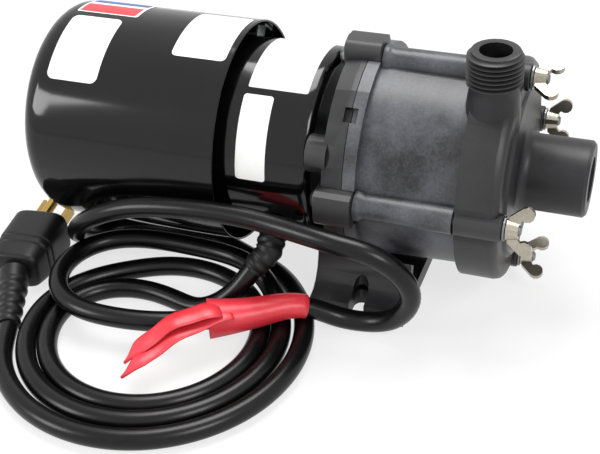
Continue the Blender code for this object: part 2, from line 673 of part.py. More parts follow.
def build_housing():
    """Pump housing: flanged barrel with bolt bosses and the seat of the isolation can."""
    rear, front = HOUSING_X, PARTING_X
    face = rear + FLANGE_T
    barrel = [(rear, 0), (rear, FLANGE_R), (face, FLANGE_R), (face, HOUSING_REAR_R),
              (front, HOUSING_FRONT_R),
              (front, 0)]
    housing = node("pump_housing", turned(barrel), PLASTIC)
    bosses = [moved(turned([(face - FLANGE_T / 2, 0), (face - FLANGE_T / 2, BOSS_R + BOSS_COLLAR_L / 2),
                            (face + BOSS_COLLAR_L, BOSS_R + BOSS_COLLAR_L / 2),
                            (face + 2 * BOSS_COLLAR_L, BOSS_R),
                            (front - GAP, BOSS_R), (front - GAP, 0)], 16), 0, "X", place)
              for place in circle_places(BOLT_CIRCLE_R, BOLT_ANGLES)]
    added(housing, joined(bosses))
    pad = pad_outline(PAD_REACH + FLANGE_R, PAD_W + 2 * GAP, BOLT_CIRCLE_R - BOLT_HEAD_R - 2 * GAP)
    cut(housing, round_the_shaft(lambda: extruded(pad, rear - FLANGE_T, face), BOLT_ANGLES))
    bore = [(rear - FLANGE_T, 0), (rear - FLANGE_T, HOUSING_BORE_R), (front - RECESS_L, HOUSING_BORE_R),
            (front - RECESS_L, RECESS_R), (front + FLANGE_T, RECESS_R), (front + FLANGE_T, 0)]
    cut(housing, turned(bore))
    cut(housing, bolt_holes(rear - FLANGE_T, front + FLANGE_T), "MANIFOLD")
    cut(housing, pry_notch(), "MANIFOLD")


def bolt_holes(start, end):
    """Clearance holes of the four clamp bolts, as one cutter."""
    return joined([moved(drill(BOLT_HOLE_R, start, end), 0, "X", place)
                   for place in circle_places(BOLT_CIRCLE_R, BOLT_ANGLES)])


def build_volute():
    """Volute cover: scroll cavity, inlet and tangential outlet in one moulding."""
    rear, front, corner = VOLUTE_X, VOLUTE_FACE_X, VOLUTE_FILLET
    body = [(rear, 0), (rear, VOLUTE_R)] + arc((front - corner, VOLUTE_R - corner), corner, 90, 0)
    body += [(front, VOLUTE_STEP_R + VOLUTE_STEP), (front + VOLUTE_STEP, VOLUTE_STEP_R)]
    root = front + VOLUTE_STEP + INLET_ROOT
    body += arc((root, INLET_R + INLET_ROOT), INLET_ROOT, 180, 270)
    body += [(INLET_END_X - INLET_CHAMFER, INLET_R), (INLET_END_X, INLET_R - INLET_CHAMFER),
             (INLET_END_X, 0)]
    volute = node("volute", turned(body), PLASTIC)
    bosses = [moved(turned([(rear + GAP, 0), (rear + GAP, BOSS_R), (BOSS_FACE_X - GAP, BOSS_R),
                            (BOSS_FACE_X, BOSS_R - GAP), (BOSS_FACE_X, 0)], 16), 0, "X", place)
              for place in circle_places(BOLT_CIRCLE_R, BOLT_ANGLES)]
    added(volute, joined(bosses))
    top, thread = OUTLET_TOP, OUTLET_TOP - OUTLET_THREAD_L
    pipe = [(0, 0), (0, OUTLET_ROOT_R), (VOLUTE_R * 0.8, OUTLET_ROOT_R), (VOLUTE_R * 0.95, OUTLET_NECK_R),
            (thread, OUTLET_NECK_R), (thread, OUTLET_THREAD_R), (top - OUTLET_CHAMFER, OUTLET_THREAD_R),
            (top, OUTLET_THREAD_R - OUTLET_CHAMFER), (top, 0)]
    place = (OUTLET_X, OUTLET_Y, 0)
    added(volute, moved(turned(pipe, INNER_STEPS), -90, "Y", place))
    cut(volute, drill(HOUSING_REAR_R + GAP, rear - VOLUTE_R, rear, OUTER_STEPS), "MANIFOLD")
    cavity = turned([(rear - CAVITY_L, 0), (rear - CAVITY_L, CAVITY_R), (rear + CAVITY_L, CAVITY_R),
                     (rear + CAVITY_L, 0)], INNER_STEPS)
    cut(volute, moved(cavity, 0, "X", (0, -CUTWATER_SHIFT, CUTWATER_SHIFT)))
    outlet = drill(OUTLET_BORE_R, CAVITY_R / 2, top + OUTLET_THREAD_L, 16)
    cut(volute, moved(outlet, -90, "Y", place))
    inlet = [(rear + CAVITY_L / 2, 0), (rear + CAVITY_L / 2, INLET_THROAT_R),
             (INLET_END_X - INLET_BORE_L, INLET_THROAT_R), (INLET_END_X - INLET_BORE_L, INLET_BORE_R),
             (INLET_END_X + INLET_L, INLET_BORE_R), (INLET_END_X + INLET_L, 0)]
    cut(volute, turned(inlet, INNER_STEPS, 180 / INNER_STEPS))
    depth = 2 * SEAL_R
    groove = tube(SEAL_GROOVE_R + SEAL_R + GAP, SEAL_GROOVE_R - SEAL_R - GAP, rear - depth, rear + depth,
                  INNER_STEPS)
    cut(volute, groove)
    cut(volute, bolt_holes(rear - VOLUTE_L, BOSS_FACE_X + VOLUTE_L), "MANIFOLD")


def build_can():
    """Isolation can, its seal, the spindle and the two thrust washers."""
    flange, front, rear, wall = CAN_FLANGE_X, PARTING_X - GAP, CAN_REAR_X, CAN_WALL
    inner = CAN_R - wall
    back = rear + wall + SPINDLE_SEAT
    can = [(rear, 0), (rear, CAN_R), (flange, CAN_R), (flange, CAN_FLANGE_R), (front, CAN_FLANGE_R),
           (front, inner),
           (rear + wall, inner), (rear + wall, SPINDLE_BOSS_R), (back, SPINDLE_BOSS_R),
           (back, SPINDLE_R + GAP),
           (rear + wall, SPINDLE_R + GAP), (rear + wall, 0)]
    node("isolation_can", turned(can, INNER_STEPS), PLASTIC)
    seal_x = VOLUTE_X + SEAL_R - GAP
    seal = arc((seal_x, SEAL_GROOVE_R), SEAL_R, 0, 315, 7)
    node("o_ring", turned(seal, INNER_STEPS), SEAL)
    spindle_end = IMPELLER_X + IMPELLER_PLATE + VANE_H + GAP + WASHER_THICK
    node("spindle", rod(SPINDLE_R, SPINDLE_X, spindle_end, SMALL_STEPS), CERAMIC)
    for name, start in (("thrust_washer_rear", back + GAP),
                        ("thrust_washer_front", IMPELLER_X + IMPELLER_PLATE + VANE_H + GAP)):
        node(name, tube(THRUST_R, SPINDLE_R + GAP, start, start + WASHER_THICK, 24), CERAMIC)


def driven_x():
    """Rear face of the driven magnet, a running gap in front of the rear thrust washer."""
    return CAN_REAR_X + CAN_WALL + SPINDLE_SEAT + GAP + WASHER_THICK + GAP


def build_impeller(parent):
    """Encapsulated driven magnet and the open impeller that grows from it, free on the spindle."""
    bore = SPINDLE_R + GAP
    rear = driven_x()
    magnet = tube(DRIVEN_R, bore, rear, rear + DRIVEN_L, INNER_STEPS)
    node("driven_magnet", magnet, MAGNET, parent=parent)
    neck = rear + DRIVEN_L + GAP
    plate, face = IMPELLER_X, IMPELLER_X + IMPELLER_PLATE
    tip = face + VANE_H
    body = [(neck, bore), (neck, IMPELLER_NECK_R), (plate, IMPELLER_NECK_R), (plate, IMPELLER_R),
            (face, IMPELLER_R),
            (face, IMPELLER_HUB_R), (tip, VANE_ROOT_R - VANE_T), (tip, bore)]
    impeller = node("impeller", turned(body, INNER_STEPS), PLASTIC, parent=parent)
    vanes = [moved(extruded(vane_outline(), face - GAP, tip - GAP), 360 * i / VANES) for i in range(VANES)]
    added(impeller, joined(vanes))


def vane_outline():
    """Backward-curved vane seen along the shaft, from its root near the hub to the plate's rim."""
    path = []
    for share in np.linspace(0, 1, 7):
        radius = VANE_ROOT_R + (IMPELLER_R - GAP - VANE_ROOT_R) * share
        path.append((radius, math.radians(VANE_SWEEP) * share))
    half = VANE_T / 2
    outer = [(r * math.cos(a) - half * math.sin(a + 0.6),
              r * math.sin(a) + half * math.cos(a + 0.6)) for r, a in path]
    inner = [(r * math.cos(a) + half * math.sin(a + 0.6),
              r * math.sin(a) - half * math.cos(a + 0.6)) for r, a in path]
    return outer + inner[::-1]


def build_clamps():
    """Four clamp bolts with their washers and wing nuts."""
    head = ADAPTER_X - RING_L - PAD_REAR - GAP
    washer = BOSS_FACE_X + GAP
    nut = washer + WASHER_T + GAP
    end = nut + NUT_L + BOLT_PROUD
    bolt = [(head - BOLT_HEAD_L, 0), (head - BOLT_HEAD_L, BOLT_HEAD_R * 0.6),
            (head - BOLT_HEAD_L / 2, BOLT_HEAD_R),
            (head, BOLT_HEAD_R), (head, BOLT_R), (end - BOLT_R / 3, BOLT_R), (end, BOLT_R * 2 / 3),
            (end, 0)]
    hub = [(0, 0), (0, NUT_HUB_R), (NUT_L, NUT_NOSE_R), (NUT_L, 0)]
    for i, place in enumerate(circle_places(BOLT_CIRCLE_R, BOLT_ANGLES), 1):
        spot = (0, place[1], AXIS_H + place[2])
        node(f"clamp_bolt_{i}", turned(bolt, SMALL_STEPS), STEEL, spot)
        node(f"washer_{i}", tube(WASHER_R, BOLT_HOLE_R, washer, washer + WASHER_T, SMALL_STEPS), STEEL,
             spot)
        wing_nut = node(f"wing_nut_{i}", turned(hub, SMALL_STEPS), NICKEL, (nut, spot[1], spot[2]))
        turn = WING_TURNS[i - 1]
        added(wing_nut, joined([moved(wing(), turn), moved(wing(), turn + 180)]))
        cut(wing_nut, rod(NUT_BORE_R, -NUT_L, 2 * NUT_L, SMALL_STEPS))


def wing():
    """One wing of a wing nut: a plate that rises from the hub to a round lobe, pointing to +Y."""
    lobe_y, lobe_x = WING_SPAN / 2 - WING_LOBE_R, WING_H - WING_LOBE_R
    root = (NUT_BORE_R + NUT_NOSE_R) / 2
    outline = [(root, NUT_L * 0.1), (NUT_HUB_R + WING_T / 2, NUT_L * 0.15)]
    outline += arc((lobe_y, lobe_x), WING_LOBE_R, -35, 215, 8)
    outline.append((root, NUT_L * 0.9))
    plate = extruded([(y, -x) for y, x in outline], -WING_T / 2, WING_T / 2)
    return moved(plate, -90, "Y")


def build_gland():
    """Moulded gland in the shell's lower near side, where the lead leaves it."""
    flat = SHELL_R + GAP
    profile = [(flat, 0), (flat, GLAND_R * 1.25), (flat + GLAND_L * 0.25, GLAND_R * 1.25),
               (flat + GLAND_L * 0.25, GLAND_R),
               (flat + GLAND_L, GLAND_R * 0.85), (flat + GLAND_L, 0)]
    gland = moved(turned(profile, SMALL_STEPS), 90, "Z")
    node("cord_gland", moved(gland, GLAND_ANGLE, "X", (GLAND_X, 0, 0)), RUBBER)


def build_coil():
    """Outer shape of the wound part of the lead, lying on the floor."""
    inner, outer, high = COIL_IN_R, COIL_OUT_R, 2 * CORD_R
    corner = CORD_R * 0.9
    section = arc((high - corner, outer - corner), corner, 0, 90, 2)[::-1]
    section = arc((corner + GAP, outer - corner), corner, 180, 90, 2) + section
    section += arc((high - corner, inner + corner), corner, 0, -90, 2)
    section += arc((corner + GAP, inner + corner), corner, 270, 180, 2)
    ring = moved(turned(section), -90, "Y")
    node("cord_coil", ring, RUBBER, (COIL_X, COIL_Y, 0))


def lead_route():
    """Route of the lead from the gland down to the inside of the coil."""
    turn = math.radians(GLAND_ANGLE)
    start = SHELL_R + GAP + GLAND_L + CORD_R / 4
    out = [(GLAND_X, reach * math.cos(turn), AXIS_H + reach * math.sin(turn)) for reach in (start,
                                                                                            start + CORD_R)]
    last = math.radians(118)
    ends = [(COIL_X + r * math.cos(last), COIL_Y + r * math.sin(last), CORD_Z)
            for r in (COIL_IN_R - 3 * CORD_R, COIL_IN_R - CORD_R / 3)]
    middle = [(-0.0395, -0.0488, 0.0250), (-0.0450, -0.0538, 0.0175), (-0.0530, -0.0583, 0.0100),
              (-0.0630, -0.0600, 0.0055), (-0.0735, -0.0575, CORD_Z)]
    return out + middle + ends


def run_route():
    """Route of the lead from the top of the coil to the plug, round the coil at its end."""
    top, floor = CORD_TOP_Z, CORD_Z
    route = [(-0.0460, -0.0375, top), (-0.0560, -0.0328, top), (-0.0760, -0.0302, top),
             (-0.0920, -0.0302, top),
             (-0.1050, -0.0320, top), (-0.1170, -0.0380, top), (-0.1245, -0.0490, top),
             (-0.1252, -0.0630, top),
             (-0.1180, -0.0755, top), (-0.1050, -0.0825, top), (-0.0900, -0.0838, top),
             (-0.0700, -0.0810, top),
             (-0.0520, -0.0742, top), (-0.0340, -0.0640, top), (-0.0190, -0.0555, 0.0128),
             (-0.0050, -0.0500, 0.0060), (0.0050, -0.0485, floor + 0.0003), (0.0155, -0.0493, 0.0082),
             (0.0235, -0.0516, 0.0170), (0.0265, -0.0545, 0.0280), (0.0230, -0.0575, 0.0390),
             (0.0145, -0.0595, 0.0468), (0.0020, -0.0600, 0.0500), (-0.0120, -0.0580, 0.0505),
             (-0.0270, -0.0545, 0.0500), (-0.0440, -0.0524, 0.0500), (-0.0610, -0.0522, 0.0496),
             (-0.0790, -0.0522, 0.0478), (-0.0940, -0.0522, 0.0446), (-0.1070, -0.0520, 0.0392),
             (-0.1180, -0.0496, 0.0312), (-0.1260, -0.0440, 0.0215), (-0.1298, -0.0345, 0.0122),
             (-0.1280, -0.0235, 0.0062), (-0.1200, -0.0150, floor), (-0.1060, -0.0112, floor),
             (-0.0900, -0.0112, floor), (-0.0740, -0.0126, floor)]
    for angle in np.linspace(OUTER_TURN_START, OUTER_TURN_END, 14):
        turn = math.radians(angle)
        route.append((COIL_X + OUTER_TURN_R * math.cos(turn), COIL_Y + OUTER_TURN_R * math.sin(turn),
                      floor))
    return route


def build_cord():
    """The lead: its tube from the gland, the wound part, and the long tube to the plug."""
    build_gland()
    cord_tube("cord_lead", lead_route(), 1)
    build_coil()
    cord_tube("cord_run", run_route(), 2)


def build_plug():
    """Moulded three-pin plug with its strain relief, lying at the end of the lead."""
    turn = math.radians(OUTER_TURN_END)
    end = Vector((COIL_X + OUTER_TURN_R * math.cos(turn), COIL_Y + OUTER_TURN_R * math.sin(turn), CORD_Z))
    facing = PLUG_TURN
    centre = Vector((PLUG_X, PLUG_Y, PLUG_H / 2 + GAP))
    half_l, half_w, half_h = PLUG_L / 2, PLUG_W / 2, PLUG_H / 2
    taper = PLUG_W * 0.18
    outline = [(-half_w + taper, -half_h), (half_w - taper, -half_h), (half_w, 0), (half_w - taper, half_h),
               (-half_w + taper, half_h), (-half_w, 0)]
    body = moved(extruded(outline, -half_l, half_l), facing, "Z")
    node("plug_body", body, RUBBER, centre)
    for i, side in enumerate((-1, 1), 1):
        low = (half_l + GAP, side * BLADE_PITCH / 2 - BLADE_T / 2, -BLADE_W / 2)
        high = (half_l + GAP + BLADE_L, side * BLADE_PITCH / 2 + BLADE_T / 2, BLADE_W / 2)
        node(f"plug_blade_{i}", moved(block(low, high), facing, "Z"), BRASS, centre)
    pin = rod(GROUND_PIN_R, half_l + GAP, half_l + GAP + BLADE_L + 2 * GROUND_PIN_R, SMALL_STEPS)
    pin = moved(moved(pin, 0, "X", (0, 0, PLUG_H / 2 - 2 * GROUND_PIN_R)), facing, "Z")
    node("plug_ground_pin", pin, BRASS, centre)
    direction = Vector((math.cos(math.radians(facing)), math.sin(math.radians(facing)), 0))
    rear = centre - direction * (half_l + GAP)
    along = rear - end
    length = along.length - GAP
    start = CORD_R / 4
    relief = [(start, 0), (start, CORD_R + GAP), (length * 0.55, (CORD_R + RELIEF_R) / 2),
              (length - RELIEF_R * 0.4, RELIEF_R),
              (length - RELIEF_R * 0.4, 0)]
    mesh = turned(relief, SMALL_STEPS)
    mesh.transform(along.to_track_quat("X", "Z").to_matrix().to_4x4())
    node("plug_relief", mesh, RUBBER, end)


build_shroud()
build_brackets()
build_shell()
build_end_bells()
build_stator()
motor_axis = axis_empty("motor_axis")
build_rotor(motor_axis)
build_drive_cup(motor_axis)
build_adapter()
build_adapter_screws()
build_housing()
build_volute()
build_can()
build_impeller(axis_empty("impeller_axis"))
build_clamps()
build_cord()
build_plug()
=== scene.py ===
"""Magnetic drive pump with its mains lead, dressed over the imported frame.

Each sub-assembly is a class that builds its meshes as numpy surfaces and dresses them.
"""
import logging
import math
from dataclasses import dataclass, field
from enum import Enum

import bmesh
import bpy
import numpy as np
from mathutils import Matrix, Vector


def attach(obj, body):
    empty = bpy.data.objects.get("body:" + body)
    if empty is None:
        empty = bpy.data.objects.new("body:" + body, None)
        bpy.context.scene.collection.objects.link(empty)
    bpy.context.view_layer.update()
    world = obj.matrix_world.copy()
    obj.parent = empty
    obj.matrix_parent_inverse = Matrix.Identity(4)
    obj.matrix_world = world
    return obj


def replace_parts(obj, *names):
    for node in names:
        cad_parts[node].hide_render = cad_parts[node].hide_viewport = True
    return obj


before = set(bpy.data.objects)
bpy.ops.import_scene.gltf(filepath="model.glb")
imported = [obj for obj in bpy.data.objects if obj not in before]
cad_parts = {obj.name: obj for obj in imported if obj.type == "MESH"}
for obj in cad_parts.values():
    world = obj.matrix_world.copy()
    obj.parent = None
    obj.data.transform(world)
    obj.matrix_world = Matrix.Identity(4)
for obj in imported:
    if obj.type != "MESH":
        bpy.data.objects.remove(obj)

LOG = logging.getLogger("pump")
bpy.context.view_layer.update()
AXIS_H = 0.05715            # shaft height over the floor
CORD_R = 0.0042             # half the lead's thickness
GAP = 0.0003                # clearance between pieces that touch
CLOUD_SCALE = 48.0          # clouds in a metre
GRAIN_SHARE = 0.35          # weight of the fine grain beside the clouds
SPREAD = (0.42, 1.0)        # range of the mixed pattern that spans a finish's two colours
SPREAD_PULL = (0.08, 0.12)  # how far full clouds draw that range in at each end, which sharpens them into painted sheen
EDGE_HIGHLIGHT_COLOUR = "6d6c6a"             # pale colour painted along sharp edges as a highlight
EDGE_HIGHLIGHT_BAND = (0.52, 0.62)    # pointiness over which the painted edge highlight comes in
BUMP_STRENGTH = 0.6
Array = np.ndarray


class Body(Enum):
    """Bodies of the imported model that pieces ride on."""
    PUMP = "pump_body"
    ROTOR = "motor_rotor"
    IMPELLER = "impeller_rotor"
    NUT_FAR = "wing_nut_far"
    NUT_TOP = "wing_nut_top"
    NUT_NEAR = "wing_nut_near"
    NUT_BOTTOM = "wing_nut_bottom"


def linear(code: str) -> tuple[float, float, float, float]:
    """Turns an sRGB hex colour to linear light.

    Args:
        code: six hex digits, such as "1a1a1b".

    Returns:
        Red, green, blue and an alpha of 1.
    """
    parts = np.array([int(code[i:i + 2], 16) / 255 for i in (0, 2, 4)])
    light = np.where(parts <= 0.04045, parts / 12.92, ((parts + 0.055) / 1.055) ** 2.4)
    return (*light.tolist(), 1.0)


def add_node(tree: bpy.types.NodeTree, kind: str, values: dict | None = None,
             links: dict | None = None, **settings: object) -> bpy.types.Node:
    """Adds a shader node.

    Args:
        tree: node tree to add to.
        kind: Blender's node type.
        values: socket name or number to its value.
        links: socket name or number to the output socket that feeds it.
        settings: the node's own attributes.

    Returns:
        The new node.
    """
    made = tree.nodes.new(kind)
    for name, value in settings.items():
        setattr(made, name, value)
    for name, value in (values or {}).items():
        made.inputs[name].default_value = value
    for name, source in (links or {}).items():
        tree.links.new(source, made.inputs[name])
    return made


@dataclass(frozen=True)
class Finish:
    """A material: two close colours mixed by a grain, with its own gloss and bump, where broad clouds can add
    painted sheen and pale edges a painted highlight.
    """
    name: str
    dark: str
    light: str
    grain_mm: float = 1.0           # size of the pattern
    rough: tuple[float, float] = (0.4, 0.5)
    bump_mm: float = 0.01
    metallic: float = 0.0
    specular: float = 0.5
    stretch: tuple[float, float, float] = (1.0, 1.0, 1.0)
    detail: float = 4.0
    edge_highlight: float = 0.0               # share of the pale colour painted along the edges as a highlight
    painted_sheen: float = 0.0              # how far the clouds, some 20 mm across, sharpen the colours into painted sheen

    def build(self) -> bpy.types.Material:
        """Makes the node material, once, and returns it."""
        old = bpy.data.materials.get(self.name)
        if old is not None and old.get("dressed"):
            return old
        made = bpy.data.materials.new(self.name)
        made["dressed"] = True
        made.use_nodes = True
        tree = made.node_tree
        shader = tree.nodes["Principled BSDF"]
        shader.inputs["Metallic"].default_value = self.metallic
        shader.inputs["Specular IOR Level"].default_value = self.specular
        grain, broad = self.patterns(tree)
        tree.links.new(self.colour(tree, grain, broad), shader.inputs["Base Color"])
        gloss = add_node(tree, "ShaderNodeMapRange", {"To Min": self.rough[0], "To Max": self.rough[1]},
                         {"Value": broad})
        tree.links.new(gloss.outputs["Result"], shader.inputs["Roughness"])
        lift = add_node(tree, "ShaderNodeBump", {"Strength": BUMP_STRENGTH, "Distance": self.bump_mm / 1000},
                        {"Height": grain})
        tree.links.new(lift.outputs["Normal"], shader.inputs["Normal"])
        return made

    def patterns(self, tree: bpy.types.NodeTree) -> tuple[bpy.types.NodeSocket, bpy.types.NodeSocket]:
        """Returns the fine grain and the broad clouds, both in the object's own space."""
        place = add_node(tree, "ShaderNodeTexCoord").outputs["Object"]
        place = add_node(tree, "ShaderNodeMapping", {"Scale": self.stretch},
                         {"Vector": place}).outputs["Vector"]
        fine = {"Scale": 1000.0 / self.grain_mm, "Detail": self.detail, "Roughness": 0.6}
        coarse = {"Scale": CLOUD_SCALE, "Detail": 5.0}
        return tuple(add_node(tree, "ShaderNodeTexNoise", values, {"Vector": place}).outputs["Fac"]
                     for values in (fine, coarse))

    def colour(self, tree: bpy.types.NodeTree, grain: bpy.types.NodeSocket,
               broad: bpy.types.NodeSocket) -> bpy.types.NodeSocket:
        """Returns the two colours mixed by both patterns, with a painted highlight along the sharp edges
        where the finish has one.
        """
        fine = add_node(tree, "ShaderNodeMath", {1: GRAIN_SHARE}, {0: grain}, operation="MULTIPLY").outputs[0]
        both = add_node(tree, "ShaderNodeMath", None, {0: fine, 1: broad}, operation="ADD")
        # the clouds' contrast, drawn in here, paints sheen into the colour
        low, high = SPREAD[0] + SPREAD_PULL[0] * self.painted_sheen, SPREAD[1] - SPREAD_PULL[1] * self.painted_sheen
        spread = add_node(tree, "ShaderNodeMapRange", {"From Min": low, "From Max": high},
                          {"Value": both.outputs[0]})
        mix = add_node(tree, "ShaderNodeMix", {6: linear(self.dark), 7: linear(self.light)},
                       {0: spread.outputs["Result"]}, data_type="RGBA")
        if self.edge_highlight <= 0:
            return mix.outputs[2]
        # pale colour mixed in on sharp edges by pointiness: a painted highlight
        edge = add_node(tree, "ShaderNodeNewGeometry").outputs["Pointiness"]
        low, high = EDGE_HIGHLIGHT_BAND
        band = add_node(tree, "ShaderNodeMapRange", {"From Min": low, "From Max": high, "To Max": self.edge_highlight},
                        {"Value": edge})
        return add_node(tree, "ShaderNodeMix", {7: linear(EDGE_HIGHLIGHT_COLOUR)},
                        {0: band.outputs["Result"], 6: mix.outputs[2]}, data_type="RGBA").outputs[2]


# Sprayed gloss enamel on drawn steel: near black, a slight orange peel a millimetre or two across
ENAMEL = Finish("black gloss enamel on drawn steel", "040405", "080809", 2.2, (0.08, 0.14), 0.003,
                specular=0.4)
# Glass-filled polypropylene, moulded: dark grey with a fine grain, lighter clouds some 20 mm across painted
# in as sheen, and pale edges painted in as a highlight
FILLED = Finish("moulded glass-filled polypropylene", "101012", "5a5b62", 1.1, (0.26, 0.50), 0.06,
                specular=0.5, detail=8.0, edge_highlight=0.30, painted_sheen=1.0)
# The same moulding painted darker and closer as shade, on the volute and the adapter
FILLED_SHADED = Finish("moulded polypropylene painted darker as shade", "0a0a0b", "232326", 1.1, (0.32, 0.52), 0.05,
                     specular=0.4, detail=8.0, edge_highlight=0.35, painted_sheen=0.8)
# Extruded flexible vinyl: satin black with a faint drawn texture
JACKET = Finish("extruded black vinyl jacket", "050506", "0a0a0b", 1.6, (0.24, 0.32), 0.006, specular=0.3)
# Moulded vinyl of the plug: as the jacket and a little duller
MOULDED_VINYL = Finish("moulded black vinyl", "0a0a0b", "141416", 0.9, (0.38, 0.5), 0.012, specular=0.3)
# Cast zinc wing nuts under bright nickel: pale, softly pitted
NICKEL = Finish("bright nickel on cast zinc", "8d8778", "c2bcae", 1.3, (0.22, 0.36), 0.06, metallic=1.0)
# Turned and stamped mild steel, zinc plated and dulled
STEEL = Finish("dulled zinc plate on steel", "6e6f70", "8e8f8f", 0.8, (0.30, 0.48), 0.01, metallic=1.0)
# Stamped brass blades, brushed by use along their length
BRASS = Finish("stamped brass", "a3823a", "c9a85a", 0.9, (0.20, 0.36), 0.01, metallic=1.0)
# Stacked silicon-steel sheets seen on edge, half a millimetre each, drawn a little coarser to show
LAMINATED = Finish("laminated silicon steel", "4a4c50", "6d7075", 3.0, (0.38, 0.55), 0.03, metallic=1.0,
                   stretch=(4.0, 0.4, 0.4))
# Enamelled copper winding wire under varnish
WINDING = Finish("varnished copper wire", "6a2c10", "a04c1e", 1.2, (0.22, 0.38), 0.12, metallic=0.6,
                 stretch=(0.35, 1.0, 1.0))
# Sintered ferrite: charcoal, dry
FERRITE = Finish("sintered ferrite", "242527", "33353a", 0.5, (0.5, 0.7), 0.01)
# Ground alumina spindle and thrust washers
ALUMINA = Finish("ground alumina", "d9d4c6", "ebe7dc", 0.6, (0.12, 0.22), 0.002, specular=0.6)
# Moulded nitrile seal
NITRILE = Finish("moulded nitrile rubber", "0c0c0c", "141414", 0.8, (0.45, 0.6), 0.008)
# Coated paper labels: clean white, faintly uneven
LABEL = Finish("coated white paper label", "e9e9e6", "f6f6f4", 3.0, (0.30, 0.42), 0.004)
# Metallised polyester rating plate, silver white
PLATE = Finish("silvered polyester plate", "cfd0d1", "e2e3e4", 2.0, (0.22, 0.34), 0.003)
RED_INK = Finish("red ink on paper", "c62b36", "d33b44", 3.0, (0.32, 0.42), 0.002)
BLUE_INK = Finish("blue ink on paper", "2c4a92", "3a5aa6", 3.0, (0.32, 0.42), 0.002)
# Red polyester tag, creased by hand
TAG = Finish("creased red film tag", "d0242f", "ee4452", 9.0, (0.30, 0.45), 0.5, detail=2.0)


def grid_mesh(name: str, points: Array, finish: Finish, body: Body = Body.PUMP, *, wrap: bool = True,
              caps: bool = False, skip: Array | None = None) -> bpy.types.Object:
    """Turns a grid of points into a smooth mesh object that rides on a body.

    Row r and column c of the grid make one quad with their next row and column.

    Args:
        name: the piece's name.
        points: grid of shape rows, columns, 3, in metres.
        finish: what it is made of.
        body: the body that it rides on.
        wrap: the last column joins the first.
        caps: the first and last rows close with a fan round their middle.
        skip: quads to leave out, of shape rows - 1, columns.

    Returns:
        The finished object.
    """
    rows, cols = points.shape[:2]
    flat = points.reshape(-1, 3)
    r, c = np.meshgrid(np.arange(rows - 1), np.arange(cols if wrap else cols - 1), indexing="ij")
    c2 = (c + 1) % cols
    quads = np.stack([r * cols + c, r * cols + c2, (r + 1) * cols + c2, (r + 1) * cols + c], -1)
    keep = quads[~skip] if skip is not None else quads.reshape(-1, 4)
    faces = keep.reshape(-1, 4).tolist()
    if caps:
        ring = np.arange(cols)
        nxt = (ring + 1) % cols
        low, high = len(flat), len(flat) + 1
        flat = np.vstack([flat, points[0].mean(0), points[-1].mean(0)])
        faces += np.stack([nxt, ring, np.full(cols, low)], -1).tolist()
        base = (rows - 1) * cols
        faces += np.stack([base + ring, base + nxt, np.full(cols, high)], -1).tolist()
    mesh = bpy.data.meshes.new(name)
    mesh.from_pydata(flat.tolist(), [], faces)
    return finished(name, mesh, finish, body)


def finished(name: str, mesh: bpy.types.Mesh, finish: Finish, body: Body,
             angle: float = 32.0) -> bpy.types.Object:
    """Links a mesh as a piece: welded, facing outwards, smooth under the angle, in its finish.

    Args:
        name: the piece's name.
        mesh: its mesh, in place.
        finish: what it is made of.
        body: the body that it rides on.
        angle: edges sharper than this many degrees stay crisp.

    Returns:
        The object, riding on its body.
    """
    work = bmesh.new()
    work.from_mesh(mesh)
    bmesh.ops.remove_doubles(work, verts=work.verts, dist=1e-6)
    loose = [v for v in work.verts if not v.link_faces]
    bmesh.ops.delete(work, geom=loose, context="VERTS")
    bmesh.ops.recalc_face_normals(work, faces=work.faces)
    work.to_mesh(mesh)
    work.free()
    mesh.materials.clear()
    mesh.materials.append(finish.build())
    mesh.polygons.foreach_set("use_smooth", np.ones(len(mesh.polygons), bool))
    mesh.set_sharp_from_angle(angle=math.radians(angle))
    made = bpy.data.objects.new(name, mesh)
    bpy.context.scene.collection.objects.link(made)
    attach(made, body.value)
    LOG.info("%s: %d faces on %s", name, len(mesh.polygons), body.value)
    return made


def eased(corners: list[tuple[float, float, float]], steps: int = 6) -> Array:
    """Rounds the corners of an open profile.

    Each corner (x, r, ease) gives way to a quadratic arc that starts and ends ease metres from it.

    Args:
        corners: position along the shaft, radius and easing length of each corner.
        steps: points of each arc.

    Returns:
        Profile points of shape n, 2.
    """
    spots = np.array([c[:2] for c in corners])
    eases = [c[2] for c in corners[1:-1]]
    out = [spots[:1]]
    for before, here, after, ease in zip(spots[:-2], spots[1:-1], spots[2:], eases):
        if ease <= 0:
            out.append(here[None])
            continue
        a = here + (before - here) * min(0.49, ease / max(1e-9, np.linalg.norm(before - here)))
        b = here + (after - here) * min(0.49, ease / max(1e-9, np.linalg.norm(after - here)))
        t = np.linspace(0, 1, steps)[:, None]
        out.append((1 - t) ** 2 * a + 2 * t * (1 - t) * here + t ** 2 * b)
    out.append(spots[-1:])
    return np.vstack(out)


def turned(profile: Array, steps: int = 128, centre: tuple[float, float] = (0.0, AXIS_H)) -> Array:
    """Surface of revolution: each profile point (x, r) goes round the shaft line through centre (y, z).

    Args:
        profile: points of shape n, 2.
        steps: columns round the axis.
        centre: y and z of the axis.

    Returns:
        Grid of shape n, steps, 3.
    """
    turn = np.linspace(0, 2 * np.pi, steps, endpoint=False)
    x = np.repeat(profile[:, :1], steps, 1)
    r = profile[:, 1:]
    return np.stack([x, centre[0] + r * np.cos(turn), centre[1] + r * np.sin(turn)], -1)


